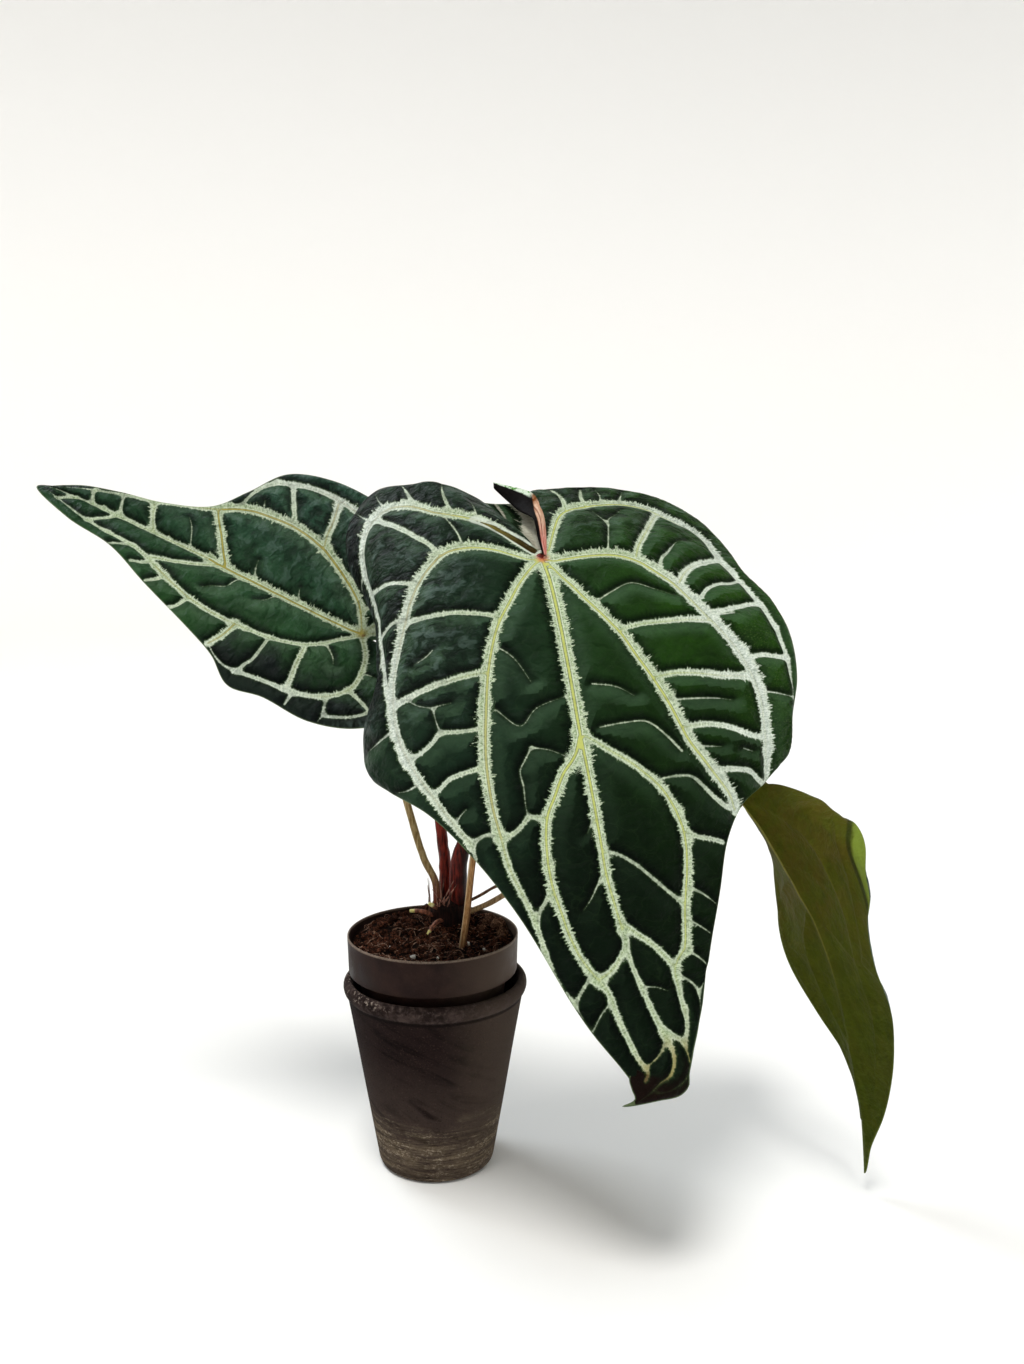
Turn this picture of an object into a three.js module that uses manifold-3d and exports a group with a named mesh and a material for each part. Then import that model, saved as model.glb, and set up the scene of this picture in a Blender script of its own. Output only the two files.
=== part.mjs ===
// Anthurium crystallinum house plant: three leaves on a short stem, in a plastic nursery pot that is
// wedged inside a clay cover pot. Millimetres, +Z up. The origin is the centre of the cover pot's
// flat underside, +X is to the right and -Y is the side that the big leaf leans out over.

import * as THREE from 'three';
import { mergeVertices } from 'three/addons/utils/BufferGeometryUtils.js';
import Module from 'manifold-3d';

const wasm = await Module();
wasm.setup();

// ---------------------------------------------------------------- driving dimensions

const GAP = 0.3;                  // clearance between two pieces that touch
const ROUND_STEPS = 48;           // facets around a pot

const COVER_HEIGHT = 136.8;
const COVER_FOOT_RADIUS = 41;
const COVER_NECK_RADIUS = 61.9;   // just below the rolled rim
const COVER_NECK_Z = 125.6;
const COVER_RIM_RADIUS = 64.8;
const COVER_WALL = 6;
const COVER_FLOOR = 9;

const NURSERY_X = -1.5;           // the inner pot sits a little left of the cover pot's axis
const NURSERY_BASE_Z = 58;        // height at which it wedges in the taper
const NURSERY_RIM_Z = 168.1;
const NURSERY_BAND_Z = 142;       // lower edge of the wide band below the rim
const NURSERY_RIM_RADIUS = 60;
const NURSERY_BODY_RADIUS = 52.2;
const NURSERY_WALL = 1.2;
const DRAIN_HOLES = 6;
const DRAIN_HOLE_RADIUS = 4;
const DRAIN_CIRCLE_RADIUS = 30;

const SOIL_Z = 160;               // flat top of the potting mix
const CROWN_AXIS = [9, 30];
const CROWN_TOP_Z = 183;
const CROWN_FOOT_Z = 150;

const LEAF_THICKNESS = 1.2;
const LEAF_RINGS = [0.3, 0.6, 0.82, 0.93, 1];
const LEAF_CENTRE = [0, 60];      // the rings of a leaf's mesh shrink towards this point of the midrib
const MIDRIB_STEP = 2;

// ---------------------------------------------------------------- leaves
//
// A leaf is drawn flat first. u runs across the blade and v along the midrib, with the petiole at
// (0, 0), the tip at positive v and the two basal lobes at negative v. The flat drawing is then bent:
// each [v, value] table below gives one property along the midrib, in degrees.
//   heading  compass direction of the midrib, 0 = towards -Y, 90 = towards +X
//   pitch    how steeply the midrib falls
//   roll     turn of the blade about the midrib
//   sway     sideways turn of the midrib within the blade
//   fold     fall of each half blade where it leaves the midrib
//   curl     further fall for each 100 mm out from the midrib
//   hem      extra curl outside the distance "inner" from the midrib
// A margin roll bends the part of the blade beyond the line from "from" to "to" round a radius,
// where the blade is left of "leftOf" and before "before".

const LEAF_FRONT = {
  base: [73.3, -55, 433],
  reach: [-160, 386],
  heading: [[-160, 0], [-80, 4], [0, 8], [150, 6], [300, 8], [386, 10]],
  pitch: [[-160, 10], [-80, 24], [0, 36], [70, 58], [150, 74], [240, 80], [386, 84]],
  roll: [[0, 0]],
  sway: [[-160, 0], [-10, 3], [60, 4], [130, 7], [200, 10], [280, 17], [312, 34], [328, 20],
    [345, -40], [365, -58], [386, -62]],
  right: {
    fold: [[-160, -8], [0, -6], [100, 0], [386, 0]],
    curl: [[-160, 24], [0, 22], [60, 14], [120, 12], [250, 30], [386, 40]],
    inner: [[-160, 110], [0, 120], [100, 125], [200, 70], [386, 90]],
    hem: [[-160, 20], [0, 0], [120, 30], [200, 60], [386, 0]],
  },
  left: {
    fold: [[-160, -8], [0, -6], [100, 0], [386, 0]],
    curl: [[-160, 36], [0, 32], [120, 26], [250, 20], [386, 20]],
    inner: [[-160, 95], [-40, 100], [0, 92], [30, 89], [60, 88], [95, 98], [200, 90], [386, 90]],
    hem: [[-160, 50], [-70, 90], [-40, 160], [0, 190], [50, 140], [90, 105], [124, 90], [200, 40], [386, 0]],
  },
  leftLobeRise: 0.28,
  marginRoll: { from: [0, 0], to: [-60, -62], radius: 30, turn: 24, upward: -1, leftOf: 0, before: 0 },
  outline: [[3, -6], [5, -35], [3, -62], [2, -82], [28, -87], [62, -89], [100, -84], [126, -66],
    [142, -36], [146, -6], [155, 22], [158, 62], [154, 100], [146, 130], [146, 158], [126, 175],
    [102, 186], [85, 208], [74, 233], [62, 260], [53, 284], [46, 304], [26, 321], [16, 329],
    [12, 335], [13, 338.5], [11.5, 341.5], [3, 350], [-9, 371], [-8, 362], [-14, 360], [-20, 357],
    [-22, 350], [-24, 335], [-25, 319], [-27, 298], [-35, 272], [-54, 221], [-70, 191],
    [-96, 158], [-122, 140], [-146, 124], [-158, 92], [-162, 50], [-158, 0], [-148, -44],
    [-130, -76], [-104, -87], [-76, -78], [-48, -76], [-24, -72], [-12, -52], [-5, -28], [-2, -8]],
};

const LEAF_LEFT = {
  base: [-51, 25, 376],
  reach: [-90, 274],
  heading: [[0, -100]],
  pitch: [[-90, -20], [0, -27], [100, -24], [274, -22]],
  roll: [[0, -50]],
  sway: [[0, 0]],
  right: {
    fold: [[-90, -18], [100, -16], [274, -30]],
    curl: [[0, 20]],
    inner: [[-90, 60], [80, 60], [274, 90]],
    hem: [[-90, 60], [80, 60], [160, 0], [274, 0]],
  },
  left: {
    fold: [[-90, -14], [100, -12], [274, -20]],
    curl: [[0, 14]],
    inner: [[0, 400]],
    hem: [[0, 0]],
  },
  leftLobeRise: 0,
  marginRoll: null,
  outline: [[1.5, -6], [3, -28], [9, -46], [30, -54], [54, -52], [72, -34], [82, -5], [82, 30], [86, 56],
    [73, 77], [64, 100], [47, 147], [31, 185], [25, 223], [7, 260], [-8, 237], [-16, 208],
    [-23, 172], [-36, 141], [-58, 125], [-86, 108], [-98, 78], [-98, 42], [-90, 4], [-76, -32],
    [-54, -52], [-30, -52], [-9, -44], [-3, -28], [-1.5, -6]],
};

const LEAF_RIGHT = {
  base: [215.5, 0.5, 260],
  reach: [-80, 271],
  heading: [[-80, 72], [0, 69], [271, 56]],
  pitch: [[-80, 34], [0, 60], [27, 64], [167, 76], [271, 82]],
  roll: [[-80, -54], [0, -54], [271, -66]],
  sway: [[-80, -6], [0, -11], [67, -14], [117, -5], [167, 0], [271, 4]],
  right: {
    fold: [[-80, -24], [-10, -34], [20, -36], [57, -14], [97, -4], [167, -14], [217, -45], [271, -50]],
    curl: [[-80, -10], [-10, -40], [27, -60], [77, -45], [127, -30], [271, -10]],
    inner: [[0, 400]],
    hem: [[0, 0]],
  },
  left: {
    fold: [[-80, -10], [27, -6], [77, 4], [117, 11], [152, 5], [271, -5]],
    curl: [[-80, 20], [67, 20], [271, 10]],
    inner: [[0, 400]],
    hem: [[0, 0]],
  },
  leftLobeRise: 0,
  marginRoll: { from: [-26, 15], to: [-90, 74], radius: 9, turn: 150, upward: 1, leftOf: -4, before: 271 },
  outline: [[3, -6], [12, -22], [26, -33], [44, -35], [58, -24], [70, -2], [78, 30], [74, 67],
    [64, 97], [56, 127], [44, 157], [30, 192], [15, 229], [0, 269], [-8, 247], [-22, 222],
    [-36, 193], [-48, 167], [-58, 147], [-66, 127], [-76, 97], [-92, 84], [-95, 66], [-82, 38],
    [-73, 17], [-60, -2], [-42, -14], [-24, -17], [-10, -12], [-3, -6]],
};

const radians = THREE.MathUtils.degToRad;

/** Slopes at the knots of a [x, y] table, weighted for uneven spacing. */
function knotSlopes(table) {
  return table.map(([x, y], k) => {
    const before = table[k - 1];
    const after = table[k + 1];
    if (!before && !after) return 0;
    if (!before) return (after[1] - y) / (after[0] - x);
    if (!after) return (y - before[1]) / (x - before[0]);
    const left = x - before[0];
    const right = after[0] - x;
    const weighted = left * left * (after[1] - y) + right * right * (y - before[1]);
    return weighted / (left * right * (left + right));
  });
}

/** Smooth curve through a table of [v, value] pairs, held constant past both ends. */
function along(table, v) {
  const last = table.length - 1;
  if (v <= table[0][0]) return table[0][1];
  if (v >= table[last][0]) return table[last][1];
  const slopes = knotSlopes(table);
  const k = table.findIndex(([x]) => x >= v) - 1;
  const width = table[k + 1][0] - table[k][0];
  const t = (v - table[k][0]) / width;
  return (2 * t ** 3 - 3 * t ** 2 + 1) * table[k][1]
    + (t ** 3 - 2 * t ** 2 + t) * width * slopes[k]
    + (3 * t ** 2 - 2 * t ** 3) * table[k + 1][1]
    + (t ** 3 - t ** 2) * width * slopes[k + 1];
}

/** Directions of the blade at v: along the midrib, across it (towards +u) and out of its top side. */
function bladeAxes(leaf, v) {
  const heading = radians(along(leaf.heading, v));
  const pitch = radians(along(leaf.pitch, v));
  const roll = radians(along(leaf.roll, v));
  const sway = radians(along(leaf.sway, v));
  const level = Math.cos(pitch);
  const ahead = new THREE.Vector3(level * Math.sin(heading), -level * Math.cos(heading), -Math.sin(pitch));
  const side = new THREE.Vector3(Math.cos(heading), Math.sin(heading), 0);
  const up = ahead.clone().cross(side);
  const across = side.clone().multiplyScalar(Math.cos(roll)).addScaledVector(up, Math.sin(roll));
  const top = up.clone().multiplyScalar(Math.cos(roll)).addScaledVector(side, -Math.sin(roll));
  const turned = ahead.clone().multiplyScalar(Math.cos(sway)).addScaledVector(across, Math.sin(sway));
  across.multiplyScalar(Math.cos(sway)).addScaledVector(ahead, -Math.sin(sway));
  return { ahead: turned, across, top };
}

/** The midrib as points every MIDRIB_STEP, moved so that v = 0 lies on the leaf's base point. */
function midribPoints(leaf) {
  const [start, end] = leaf.reach;
  const points = [new THREE.Vector3()];
  for (let v = start; v < end; v += MIDRIB_STEP) {
    const here = bladeAxes(leaf, v).ahead;
    const next = bladeAxes(leaf, v + MIDRIB_STEP).ahead;
    const step = here.add(next).multiplyScalar(MIDRIB_STEP / 2);
    points.push(points[points.length - 1].clone().add(step));
  }
  const atPetiole = points[Math.round(-start / MIDRIB_STEP)].clone();
  const base = new THREE.Vector3(...leaf.base);
  return points.map((point) => point.sub(atPetiole).add(base));
}

function midribAt(points, leaf, v) {
  const place = THREE.MathUtils.clamp((v - leaf.reach[0]) / MIDRIB_STEP, 0, points.length - 1.001);
  const k = Math.floor(place);
  return points[k].clone().lerp(points[k + 1], place - k);
}

/** Position across and below the midrib of a point that lies a distance out on a bent half blade. */
function halfBlade(half, v, distance) {
  const fold = radians(along(half.fold, v));
  const curl = radians(along(half.curl, v)) / 100;
  const hemCurl = curl + radians(along(half.hem, v)) / 100;
  const inner = along(half.inner, v);
  const arc = (angle, bend, length) => {
    const safe = Math.abs(bend) < 1e-5 ? 1e-5 : bend;
    const end = angle + safe * length;
    return [(Math.sin(end) - Math.sin(angle)) / safe, (Math.cos(end) - Math.cos(angle)) / safe];
  };
  const innerPart = Math.min(distance, inner);
  const hemPart = Math.max(distance - inner, 0);
  const [x1, z1] = arc(fold, curl, innerPart);
  const [x2, z2] = arc(fold + curl * inner, hemCurl, hemPart);
  return { out: x1 + x2, rise: z1 + z2, fall: fold + curl * innerPart + hemCurl * hemPart };
}

/** Where a flat point goes when its margin is rolled, as [u, v, lift off the blade]. */
function rollMargin(roll, u, v) {
  if (!roll || u >= roll.leftOf || v >= roll.before) return [u, v, 0];
  const line = new THREE.Vector2(...roll.to).sub(new THREE.Vector2(...roll.from)).normalize();
  const outward = new THREE.Vector2(-line.y, line.x);
  const beyond = outward.dot(new THREE.Vector2(u - roll.from[0], v - roll.from[1]));
  if (beyond <= 0) return [u, v, 0];
  const angle = Math.min(beyond / roll.radius, radians(roll.turn));
  const straight = beyond - roll.radius * angle;
  const reach = roll.radius * Math.sin(angle) + straight * Math.cos(angle);
  const lift = roll.radius * (1 - Math.cos(angle)) + straight * Math.sin(angle);
  const shift = reach - beyond;
  return [u + outward.x * shift, v + outward.y * shift, roll.upward * lift];
}

/** A flat (u, v) of the leaf as a point in space. */
function leafPoint(leaf, midrib, flatU, flatV) {
  const [u, v, lift] = rollMargin(leaf.marginRoll, flatU, flatV);
  const { across, top } = bladeAxes(leaf, v);
  const towards = u >= 0 ? 1 : -1;
  const distance = Math.abs(u);
  const { out, rise, fall } = halfBlade(u >= 0 ? leaf.right : leaf.left, v, distance);
  const point = midribAt(midrib, leaf, v);
  point.addScaledVector(across, towards * (out + lift * Math.sin(fall)));
  point.addScaledVector(top, rise + lift * Math.cos(fall));
  if (v < 0 && u < 0) {
    const spread = THREE.MathUtils.smoothstep(distance, 0, 70);
    point.z += leaf.leftLobeRise * spread * v * v / (30 - v);
  }
  return point;
}

/** Half a leaf thickness along the blade's normal at a flat point. */
function halfThickness(leaf, midrib, u, v) {
  const step = 0.5;
  const across = leafPoint(leaf, midrib, u + step, v).sub(leafPoint(leaf, midrib, u - step, v));
  const ahead = leafPoint(leaf, midrib, u, v + step).sub(leafPoint(leaf, midrib, u, v - step));
  return ahead.cross(across).setLength(LEAF_THICKNESS / 2);
}

/** Closed smooth margin through the outline's points, with one more point between each two. */
function marginPoints(outline) {
  const corners = outline.map(([u, v]) => new THREE.Vector3(u, v, 0));
  const curve = new THREE.CatmullRomCurve3(corners, true, 'centripetal');
  const count = outline.length * 2;
  return Array.from({ length: count }, (_, k) => curve.getPoint(k / count));
}

/** A leaf as a thin closed sheet: rings of points that shrink towards LEAF_CENTRE, on both sides. */
function leafGeometry(leaf) {
  const midrib = midribPoints(leaf);
  const margin = marginPoints(leaf.outline);
  const count = margin.length;
  const flat = [LEAF_CENTRE];
  for (const scale of LEAF_RINGS) {
    for (const point of margin) {
      const u = LEAF_CENTRE[0] + (point.x - LEAF_CENTRE[0]) * scale;
      const v = LEAF_CENTRE[1] + (point.y - LEAF_CENTRE[1]) * scale;
      flat.push([u, v]);
    }
  }
  const topSide = [];
  const underside = [];
  for (const [u, v] of flat) {
    const point = leafPoint(leaf, midrib, u, v);
    const offset = halfThickness(leaf, midrib, u, v);
    topSide.push(point.clone().add(offset));
    underside.push(point.clone().sub(offset));
  }
  const faces = [];
  const lower = flat.length;
  const addFace = (a, b, c) => {
    faces.push(a, b, c);
    faces.push(lower + a, lower + c, lower + b);
  };
  const ring = (r, k) => 1 + r * count + (k % count);
  for (let k = 0; k < count; k += 1) {
    addFace(0, ring(0, k), ring(0, k + 1));
    for (let r = 1; r < LEAF_RINGS.length; r += 1) {
      addFace(ring(r - 1, k), ring(r, k), ring(r, k + 1));
      addFace(ring(r - 1, k), ring(r, k + 1), ring(r - 1, k + 1));
    }
    const a = ring(LEAF_RINGS.length - 1, k);
    const b = ring(LEAF_RINGS.length - 1, k + 1);
    faces.push(a, lower + a, lower + b);
    faces.push(a, lower + b, b);
  }
  const geometry = new THREE.BufferGeometry().setFromPoints([...topSide, ...underside]);
  geometry.setIndex(faces);
  return facingOut(geometry);
}

// ---------------------------------------------------------------- shared shapes

/** Signed volume of a closed indexed mesh: positive when its faces point out. */
function signedVolume(geometry) {
  const place = geometry.getAttribute('position');
  const index = geometry.getIndex();
  const [a, b, c] = [new THREE.Vector3(), new THREE.Vector3(), new THREE.Vector3()];
  let volume = 0;
  for (let k = 0; k < index.count; k += 3) {
    a.fromBufferAttribute(place, index.getX(k));
    b.fromBufferAttribute(place, index.getX(k + 1));
    c.fromBufferAttribute(place, index.getX(k + 2));
    volume += a.dot(b.cross(c)) / 6;
  }
  return volume;
}

function facingOut(geometry) {
  if (signedVolume(geometry) > 0) return geometry;
  const index = Array.from(geometry.getIndex().array);
  for (let k = 0; k < index.length; k += 3) [index[k], index[k + 1]] = [index[k + 1], index[k]];
  geometry.setIndex(index);
  return geometry;
}

/** Closed solid of revolution about the Z axis from [radius, z] points. */
function turned(profile) {
  const points = profile.map(([radius, z]) => new THREE.Vector2(radius, z));
  const geometry = new THREE.LatheGeometry(points, ROUND_STEPS).rotateX(Math.PI / 2);
  return facingOut(joined(geometry));
}

function joined(geometry) {
  geometry.deleteAttribute('normal');
  geometry.deleteAttribute('uv');
  return mergeVertices(geometry, 1e-4);
}

/**
 * A stem: a closed tube along a smooth path. Each station is [x, y, z, half width, half depth],
 * with the width lying towards "side"; the half sizes are eased from one station to the next.
 * Nothing of the stem reaches below floorZ, so that one standing on a flat top has a level foot.
 */
function stem(stations, sides, steps, floorZ = 0, side = [1, -1, 0]) {
  const curve = new THREE.CatmullRomCurve3(stations.map(([x, y, z]) => new THREE.Vector3(x, y, z)));
  const wanted = new THREE.Vector3(...side);
  const sizeAt = (t, axis) => {
    const place = Math.min(t * (stations.length - 1), stations.length - 1.001);
    const k = Math.floor(place);
    return THREE.MathUtils.lerp(stations[k][axis], stations[k + 1][axis], place - k);
  };
  const points = [];
  for (let s = 0; s <= steps; s += 1) {
    const t = s / steps;
    const middle = curve.getPoint(t);
    const tangent = curve.getTangent(t);
    const depth = tangent.clone().cross(wanted).normalize();
    const width = depth.clone().cross(tangent);
    for (let k = 0; k < sides; k += 1) {
      const angle = (2 * Math.PI * k) / sides;
      const point = middle.clone();
      point.addScaledVector(width, Math.cos(angle) * sizeAt(t, 3));
      point.addScaledVector(depth, Math.sin(angle) * sizeAt(t, 4));
      point.z = Math.max(point.z, floorZ);
      points.push(point);
    }
  }
  const bottom = points.push(curve.getPoint(0)) - 1;
  const top = points.push(curve.getPoint(1)) - 1;
  const faces = [];
  for (let k = 0; k < sides; k += 1) {
    const next = (k + 1) % sides;
    for (let s = 0; s < steps; s += 1) {
      const here = s * sides;
      faces.push(here + k, here + next, here + sides + next);
      faces.push(here + k, here + sides + next, here + sides + k);
    }
    faces.push(bottom, next, k);
    faces.push(top, steps * sides + k, steps * sides + next);
  }
  const geometry = new THREE.BufferGeometry().setFromPoints(points);
  geometry.setIndex(faces);
  return facingOut(geometry);
}

function solid(geometry) {
  const vertProperties = Float32Array.from(geometry.getAttribute('position').array);
  const triVerts = Uint32Array.from(geometry.getIndex().array);
  return new wasm.Manifold(new wasm.Mesh({ numProp: 3, vertProperties, triVerts }));
}

function fromSolid(cut) {
  const mesh = cut.getMesh();
  const geometry = new THREE.BufferGeometry();
  geometry.setAttribute('position', new THREE.BufferAttribute(mesh.vertProperties, 3));
  geometry.setIndex(new THREE.BufferAttribute(mesh.triVerts, 1));
  return geometry;
}

// ---------------------------------------------------------------- pots and soil

const COVER_TAPER = (COVER_NECK_RADIUS - COVER_FOOT_RADIUS) / (COVER_NECK_Z - 4);

function coverInnerRadius(z) {
  return COVER_FOOT_RADIUS + COVER_TAPER * (z - 4) - COVER_WALL;
}

/** Tapered clay pot with a flat solid floor and a rolled rim. */
function outerPotGeometry() {
  const rim = COVER_RIM_RADIUS;
  return turned([
    [0, 0],
    [COVER_FOOT_RADIUS - 4.2, 0],
    [COVER_FOOT_RADIUS - 1.3, 1.2],
    [COVER_FOOT_RADIUS, 4],
    [COVER_NECK_RADIUS, COVER_NECK_Z],
    [rim - 1, COVER_NECK_Z + 1.8],
    [rim, COVER_HEIGHT - 6],
    [rim - 0.4, COVER_HEIGHT - 2.6],
    [rim - 2.4, COVER_HEIGHT - 0.2],
    [rim - 4.6, COVER_HEIGHT],
    [rim - 6.6, COVER_HEIGHT - 1.8],
    [coverInnerRadius(COVER_NECK_Z), COVER_NECK_Z],
    [coverInnerRadius(COVER_FLOOR + 3), COVER_FLOOR + 3],
    [coverInnerRadius(COVER_FLOOR) - 3, COVER_FLOOR],
    [0, COVER_FLOOR],
  ]);
}

const NURSERY_BASE_RADIUS = coverInnerRadius(NURSERY_BASE_Z) + NURSERY_X - GAP;

/** Thin plastic pot: inset body, wide band below the rim and round drain holes in the floor. */
function nurseryPotGeometry() {
  const wall = NURSERY_WALL;
  const shell = turned([
    [0, NURSERY_BASE_Z],
    [NURSERY_BASE_RADIUS, NURSERY_BASE_Z],
    [NURSERY_BODY_RADIUS, NURSERY_BAND_Z],
    [NURSERY_RIM_RADIUS - 0.8, NURSERY_BAND_Z],
    [NURSERY_RIM_RADIUS, NURSERY_RIM_Z - 0.6],
    [NURSERY_RIM_RADIUS - 0.5, NURSERY_RIM_Z],
    [NURSERY_RIM_RADIUS - wall, NURSERY_RIM_Z - 0.6],
    [NURSERY_RIM_RADIUS - 0.8 - wall, NURSERY_BAND_Z + wall],
    [NURSERY_BODY_RADIUS - wall, NURSERY_BAND_Z + wall],
    [NURSERY_BASE_RADIUS - wall, NURSERY_BASE_Z + wall],
    [0, NURSERY_BASE_Z + wall],
  ]);
  const drill = new THREE.CylinderGeometry(DRAIN_HOLE_RADIUS, DRAIN_HOLE_RADIUS, 4 * wall, 12);
  drill.rotateX(Math.PI / 2);
  const drillTool = solid(facingOut(joined(drill)));
  let pot = solid(shell);
  for (let k = 0; k < DRAIN_HOLES; k += 1) {
    const angle = (2 * Math.PI * k) / DRAIN_HOLES;
    const x = DRAIN_CIRCLE_RADIUS * Math.cos(angle);
    const y = DRAIN_CIRCLE_RADIUS * Math.sin(angle);
    pot = pot.subtract(drillTool.translate([x, y, NURSERY_BASE_Z + wall / 2]));
  }
  return fromSolid(pot);
}

/** Short upright stem that the petioles grow from, drawn about its own axis. */
function crownProfile(extra) {
  return [
    [0, CROWN_FOOT_Z - extra],
    [11 + extra, CROWN_FOOT_Z - extra],
    [13.5 + extra, SOIL_Z + 2],
    [14 + extra, CROWN_TOP_Z - 10],
    [12.8 + extra, CROWN_TOP_Z + extra],
    [0, CROWN_TOP_Z + extra],
  ];
}

/** Potting mix: fills the nursery pot, with the crown and the stake set in it. */
function soilGeometry() {
  const wall = NURSERY_WALL + GAP;
  const fill = turned([
    [0, NURSERY_BASE_Z + wall],
    [NURSERY_BASE_RADIUS - wall, NURSERY_BASE_Z + wall],
    [NURSERY_BODY_RADIUS - wall, NURSERY_BAND_Z + wall],
    [NURSERY_RIM_RADIUS - 0.8 - wall, NURSERY_BAND_Z + wall],
    [NURSERY_RIM_RADIUS - 0.6 - wall, SOIL_Z - 1.5],
    [NURSERY_RIM_RADIUS - 7, SOIL_Z],
    [0, SOIL_Z],
  ]);
  const crown = turned(crownProfile(GAP)).translate(CROWN_AXIS[0] - NURSERY_X, CROWN_AXIS[1], 0);
  const stake = stakeGeometry(GAP).translate(-NURSERY_X, 0, 0);
  return fromSolid(solid(fill).subtract(solid(crown)).subtract(solid(stake)));
}

// ---------------------------------------------------------------- stems, roots and stake

const STAKE_FOOT = [12.8, -23.8, 105];    // lower end, deep in the soil
const STAKE_HEAD = [39.5, 6.8, 320];
const STAKE_HALF_WIDTH = 2.4;
const STAKE_HALF_DEPTH = 1.6;

function stakeGeometry(extra) {
  const middle = STAKE_FOOT.map((value, axis) => (value + STAKE_HEAD[axis]) / 2);
  const half = [STAKE_HALF_WIDTH + extra, STAKE_HALF_DEPTH + extra];
  const foot = [STAKE_FOOT[0], STAKE_FOOT[1], STAKE_FOOT[2] - extra];
  const stations = [[...foot, ...half], [...middle, ...half], [...STAKE_HEAD, ...half]];
  return stem(stations, 8, 2, 0, [1, 0, 0]);
}

const FOOT_Z = CROWN_TOP_Z + GAP;         // where a stem starts on the crown's flat top

/** A point a distance below the underside of a leaf where its petiole joins it. */
function under(leaf, distance) {
  const { top } = bladeAxes(leaf, 0);
  return new THREE.Vector3(...leaf.base).addScaledVector(top, -distance).toArray();
}

const PETIOLE_FRONT = [
  [15, 26, FOOT_Z, 6.2, 6.2],
  [16.3, 26, 212, 6.2, 6.2],
  [20, 26, 226, 5.2, 5.2],
  [34, 25, 290, 3.6, 3.6],
  [52, 6, 360, 3.3, 3.3],
  [66, -25, 408, 3.4, 3.4],
  [71.5, -44, 424, 4.4, 4.4],
  [...under(LEAF_FRONT, 3.1), 3.8, 3.8],
];

const PETIOLE_LEFT = [
  [0.6, 24.4, FOOT_Z, 2.6, 2.6],
  [-1.2, 24.2, 197, 2.6, 2.6],
  [-9, 24, 214, 2.6, 2.6],
  [-20.4, 28, 251.6, 2.6, 2.6],
  [-38, 36, 322, 2.4, 2.4],
  [-50, 36, 360, 2.9, 2.9],
  [...under(LEAF_LEFT, 2), 2.6, 2.6],
];

const PETIOLE_RIGHT = [
  [22.7, 23.4, 174.5, 1.9, 1.9],
  [33.5, 18, 180.5, 2, 2],
  [43, 16, 186, 2.1, 2.1],
  [86, 17, 215, 2.1, 2.1],
  [140, 15, 250, 2.1, 2.1],
  [190, 6, 269, 2.6, 2.6],
  [...under(LEAF_RIGHT, 3), 2.3, 2.3],
];

const NEW_SHOOT = [
  [5, 34.5, FOOT_Z, 4.2, 4.2],
  [5.4, 34.5, 207, 4.3, 4.3],
  [3.2, 34, 229, 3.9, 3.9],
  [0, 34, 262, 2.8, 2.8],
  [-2, 35, 292, 0.6, 0.6],
];

const CATAPHYLL_LEFT = [
  [-6.1, 30, SOIL_Z + GAP, 4.6, 0.6],
  [-6.5, 30, 173, 4.8, 0.6],
  [-6.2, 30, 186, 4, 0.5],
  [-7.6, 30, 199, 0.8, 0.4],
];

const CATAPHYLL_RIGHT = [
  [23.9, 34, SOIL_Z + GAP, 5, 0.6],
  [24.2, 34, 173, 5, 0.6],
  [23.6, 34, 188, 4, 0.5],
  [25.6, 34, 203, 0.8, 0.4],
];

const AERIAL_ROOT = [
  [20.7, 22.3, 181, 1.1, 1.1],
  [31.5, 18, 188.5, 1.1, 1.1],
  [43, 12, 197, 1.1, 1.1],
  [56, 6, 203, 1.1, 1.1],
  [68, 2, 199, 1.1, 1.1],
  [74, 0, 186, 1.1, 1.1],
  [76, -1, 168, 0.8, 0.8],
];

const ROOT_LEFT = [
  [-4.4, 22.6, 172.1, 1.6, 1.6],
  [-11, 21.5, 175.5, 1.6, 1.6],
  [-19.5, 23.5, 175, 1, 1],
];

const ROOT_MIDDLE = [
  [3.2, 16.6, 170, 1.6, 1.6],
  [0.5, 12, 170.5, 1.6, 1.6],
  [-3, 9, 167, 1.5, 1.5],
  [-6, 6.5, SOIL_Z + 1.4, 1, 1],
];

const ROOT_UPPER = [
  [-0.3, 18.7, 178.4, 1.4, 1.4],
  [-2.4, 17.4, 181, 1.5, 1.5],
  [-5.5, 17, 183, 0.9, 0.9],
];

const DRY_STUB = [
  [43, -1, SOIL_Z + GAP + 1.6, 1.5, 1.5],
  [49, 9, SOIL_Z + GAP + 1.7, 1.7, 1.7],
  [51.5, 19, SOIL_Z + GAP + 1.3, 1, 1],
];

// ---------------------------------------------------------------- materials and assembly

function matte(colour, roughness) {
  return new THREE.MeshStandardMaterial({ color: colour, roughness, metalness: 0 });
}

const clay = matte(0x4a423d, 0.9);
const plastic = matte(0x4b413a, 0.55);
const soil = matte(0x231914, 1);
const blade = matte(0x1f4226, 0.5);
const petioleRed = matte(0x5a2420, 0.55);
const petioleOlive = matte(0x8a7a4e, 0.6);
const driedBrown = matte(0x6b4630, 0.85);
const bamboo = matte(0xb08a5c, 0.65);
const rootSkin = matte(0xa9a25a, 0.7);

const group = new THREE.Group();

function add(name, geometry, material, x = 0, y = 0) {
  const mesh = new THREE.Mesh(geometry, material);
  mesh.name = name;
  mesh.position.set(x, y, 0);
  group.add(mesh);
}

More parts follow.
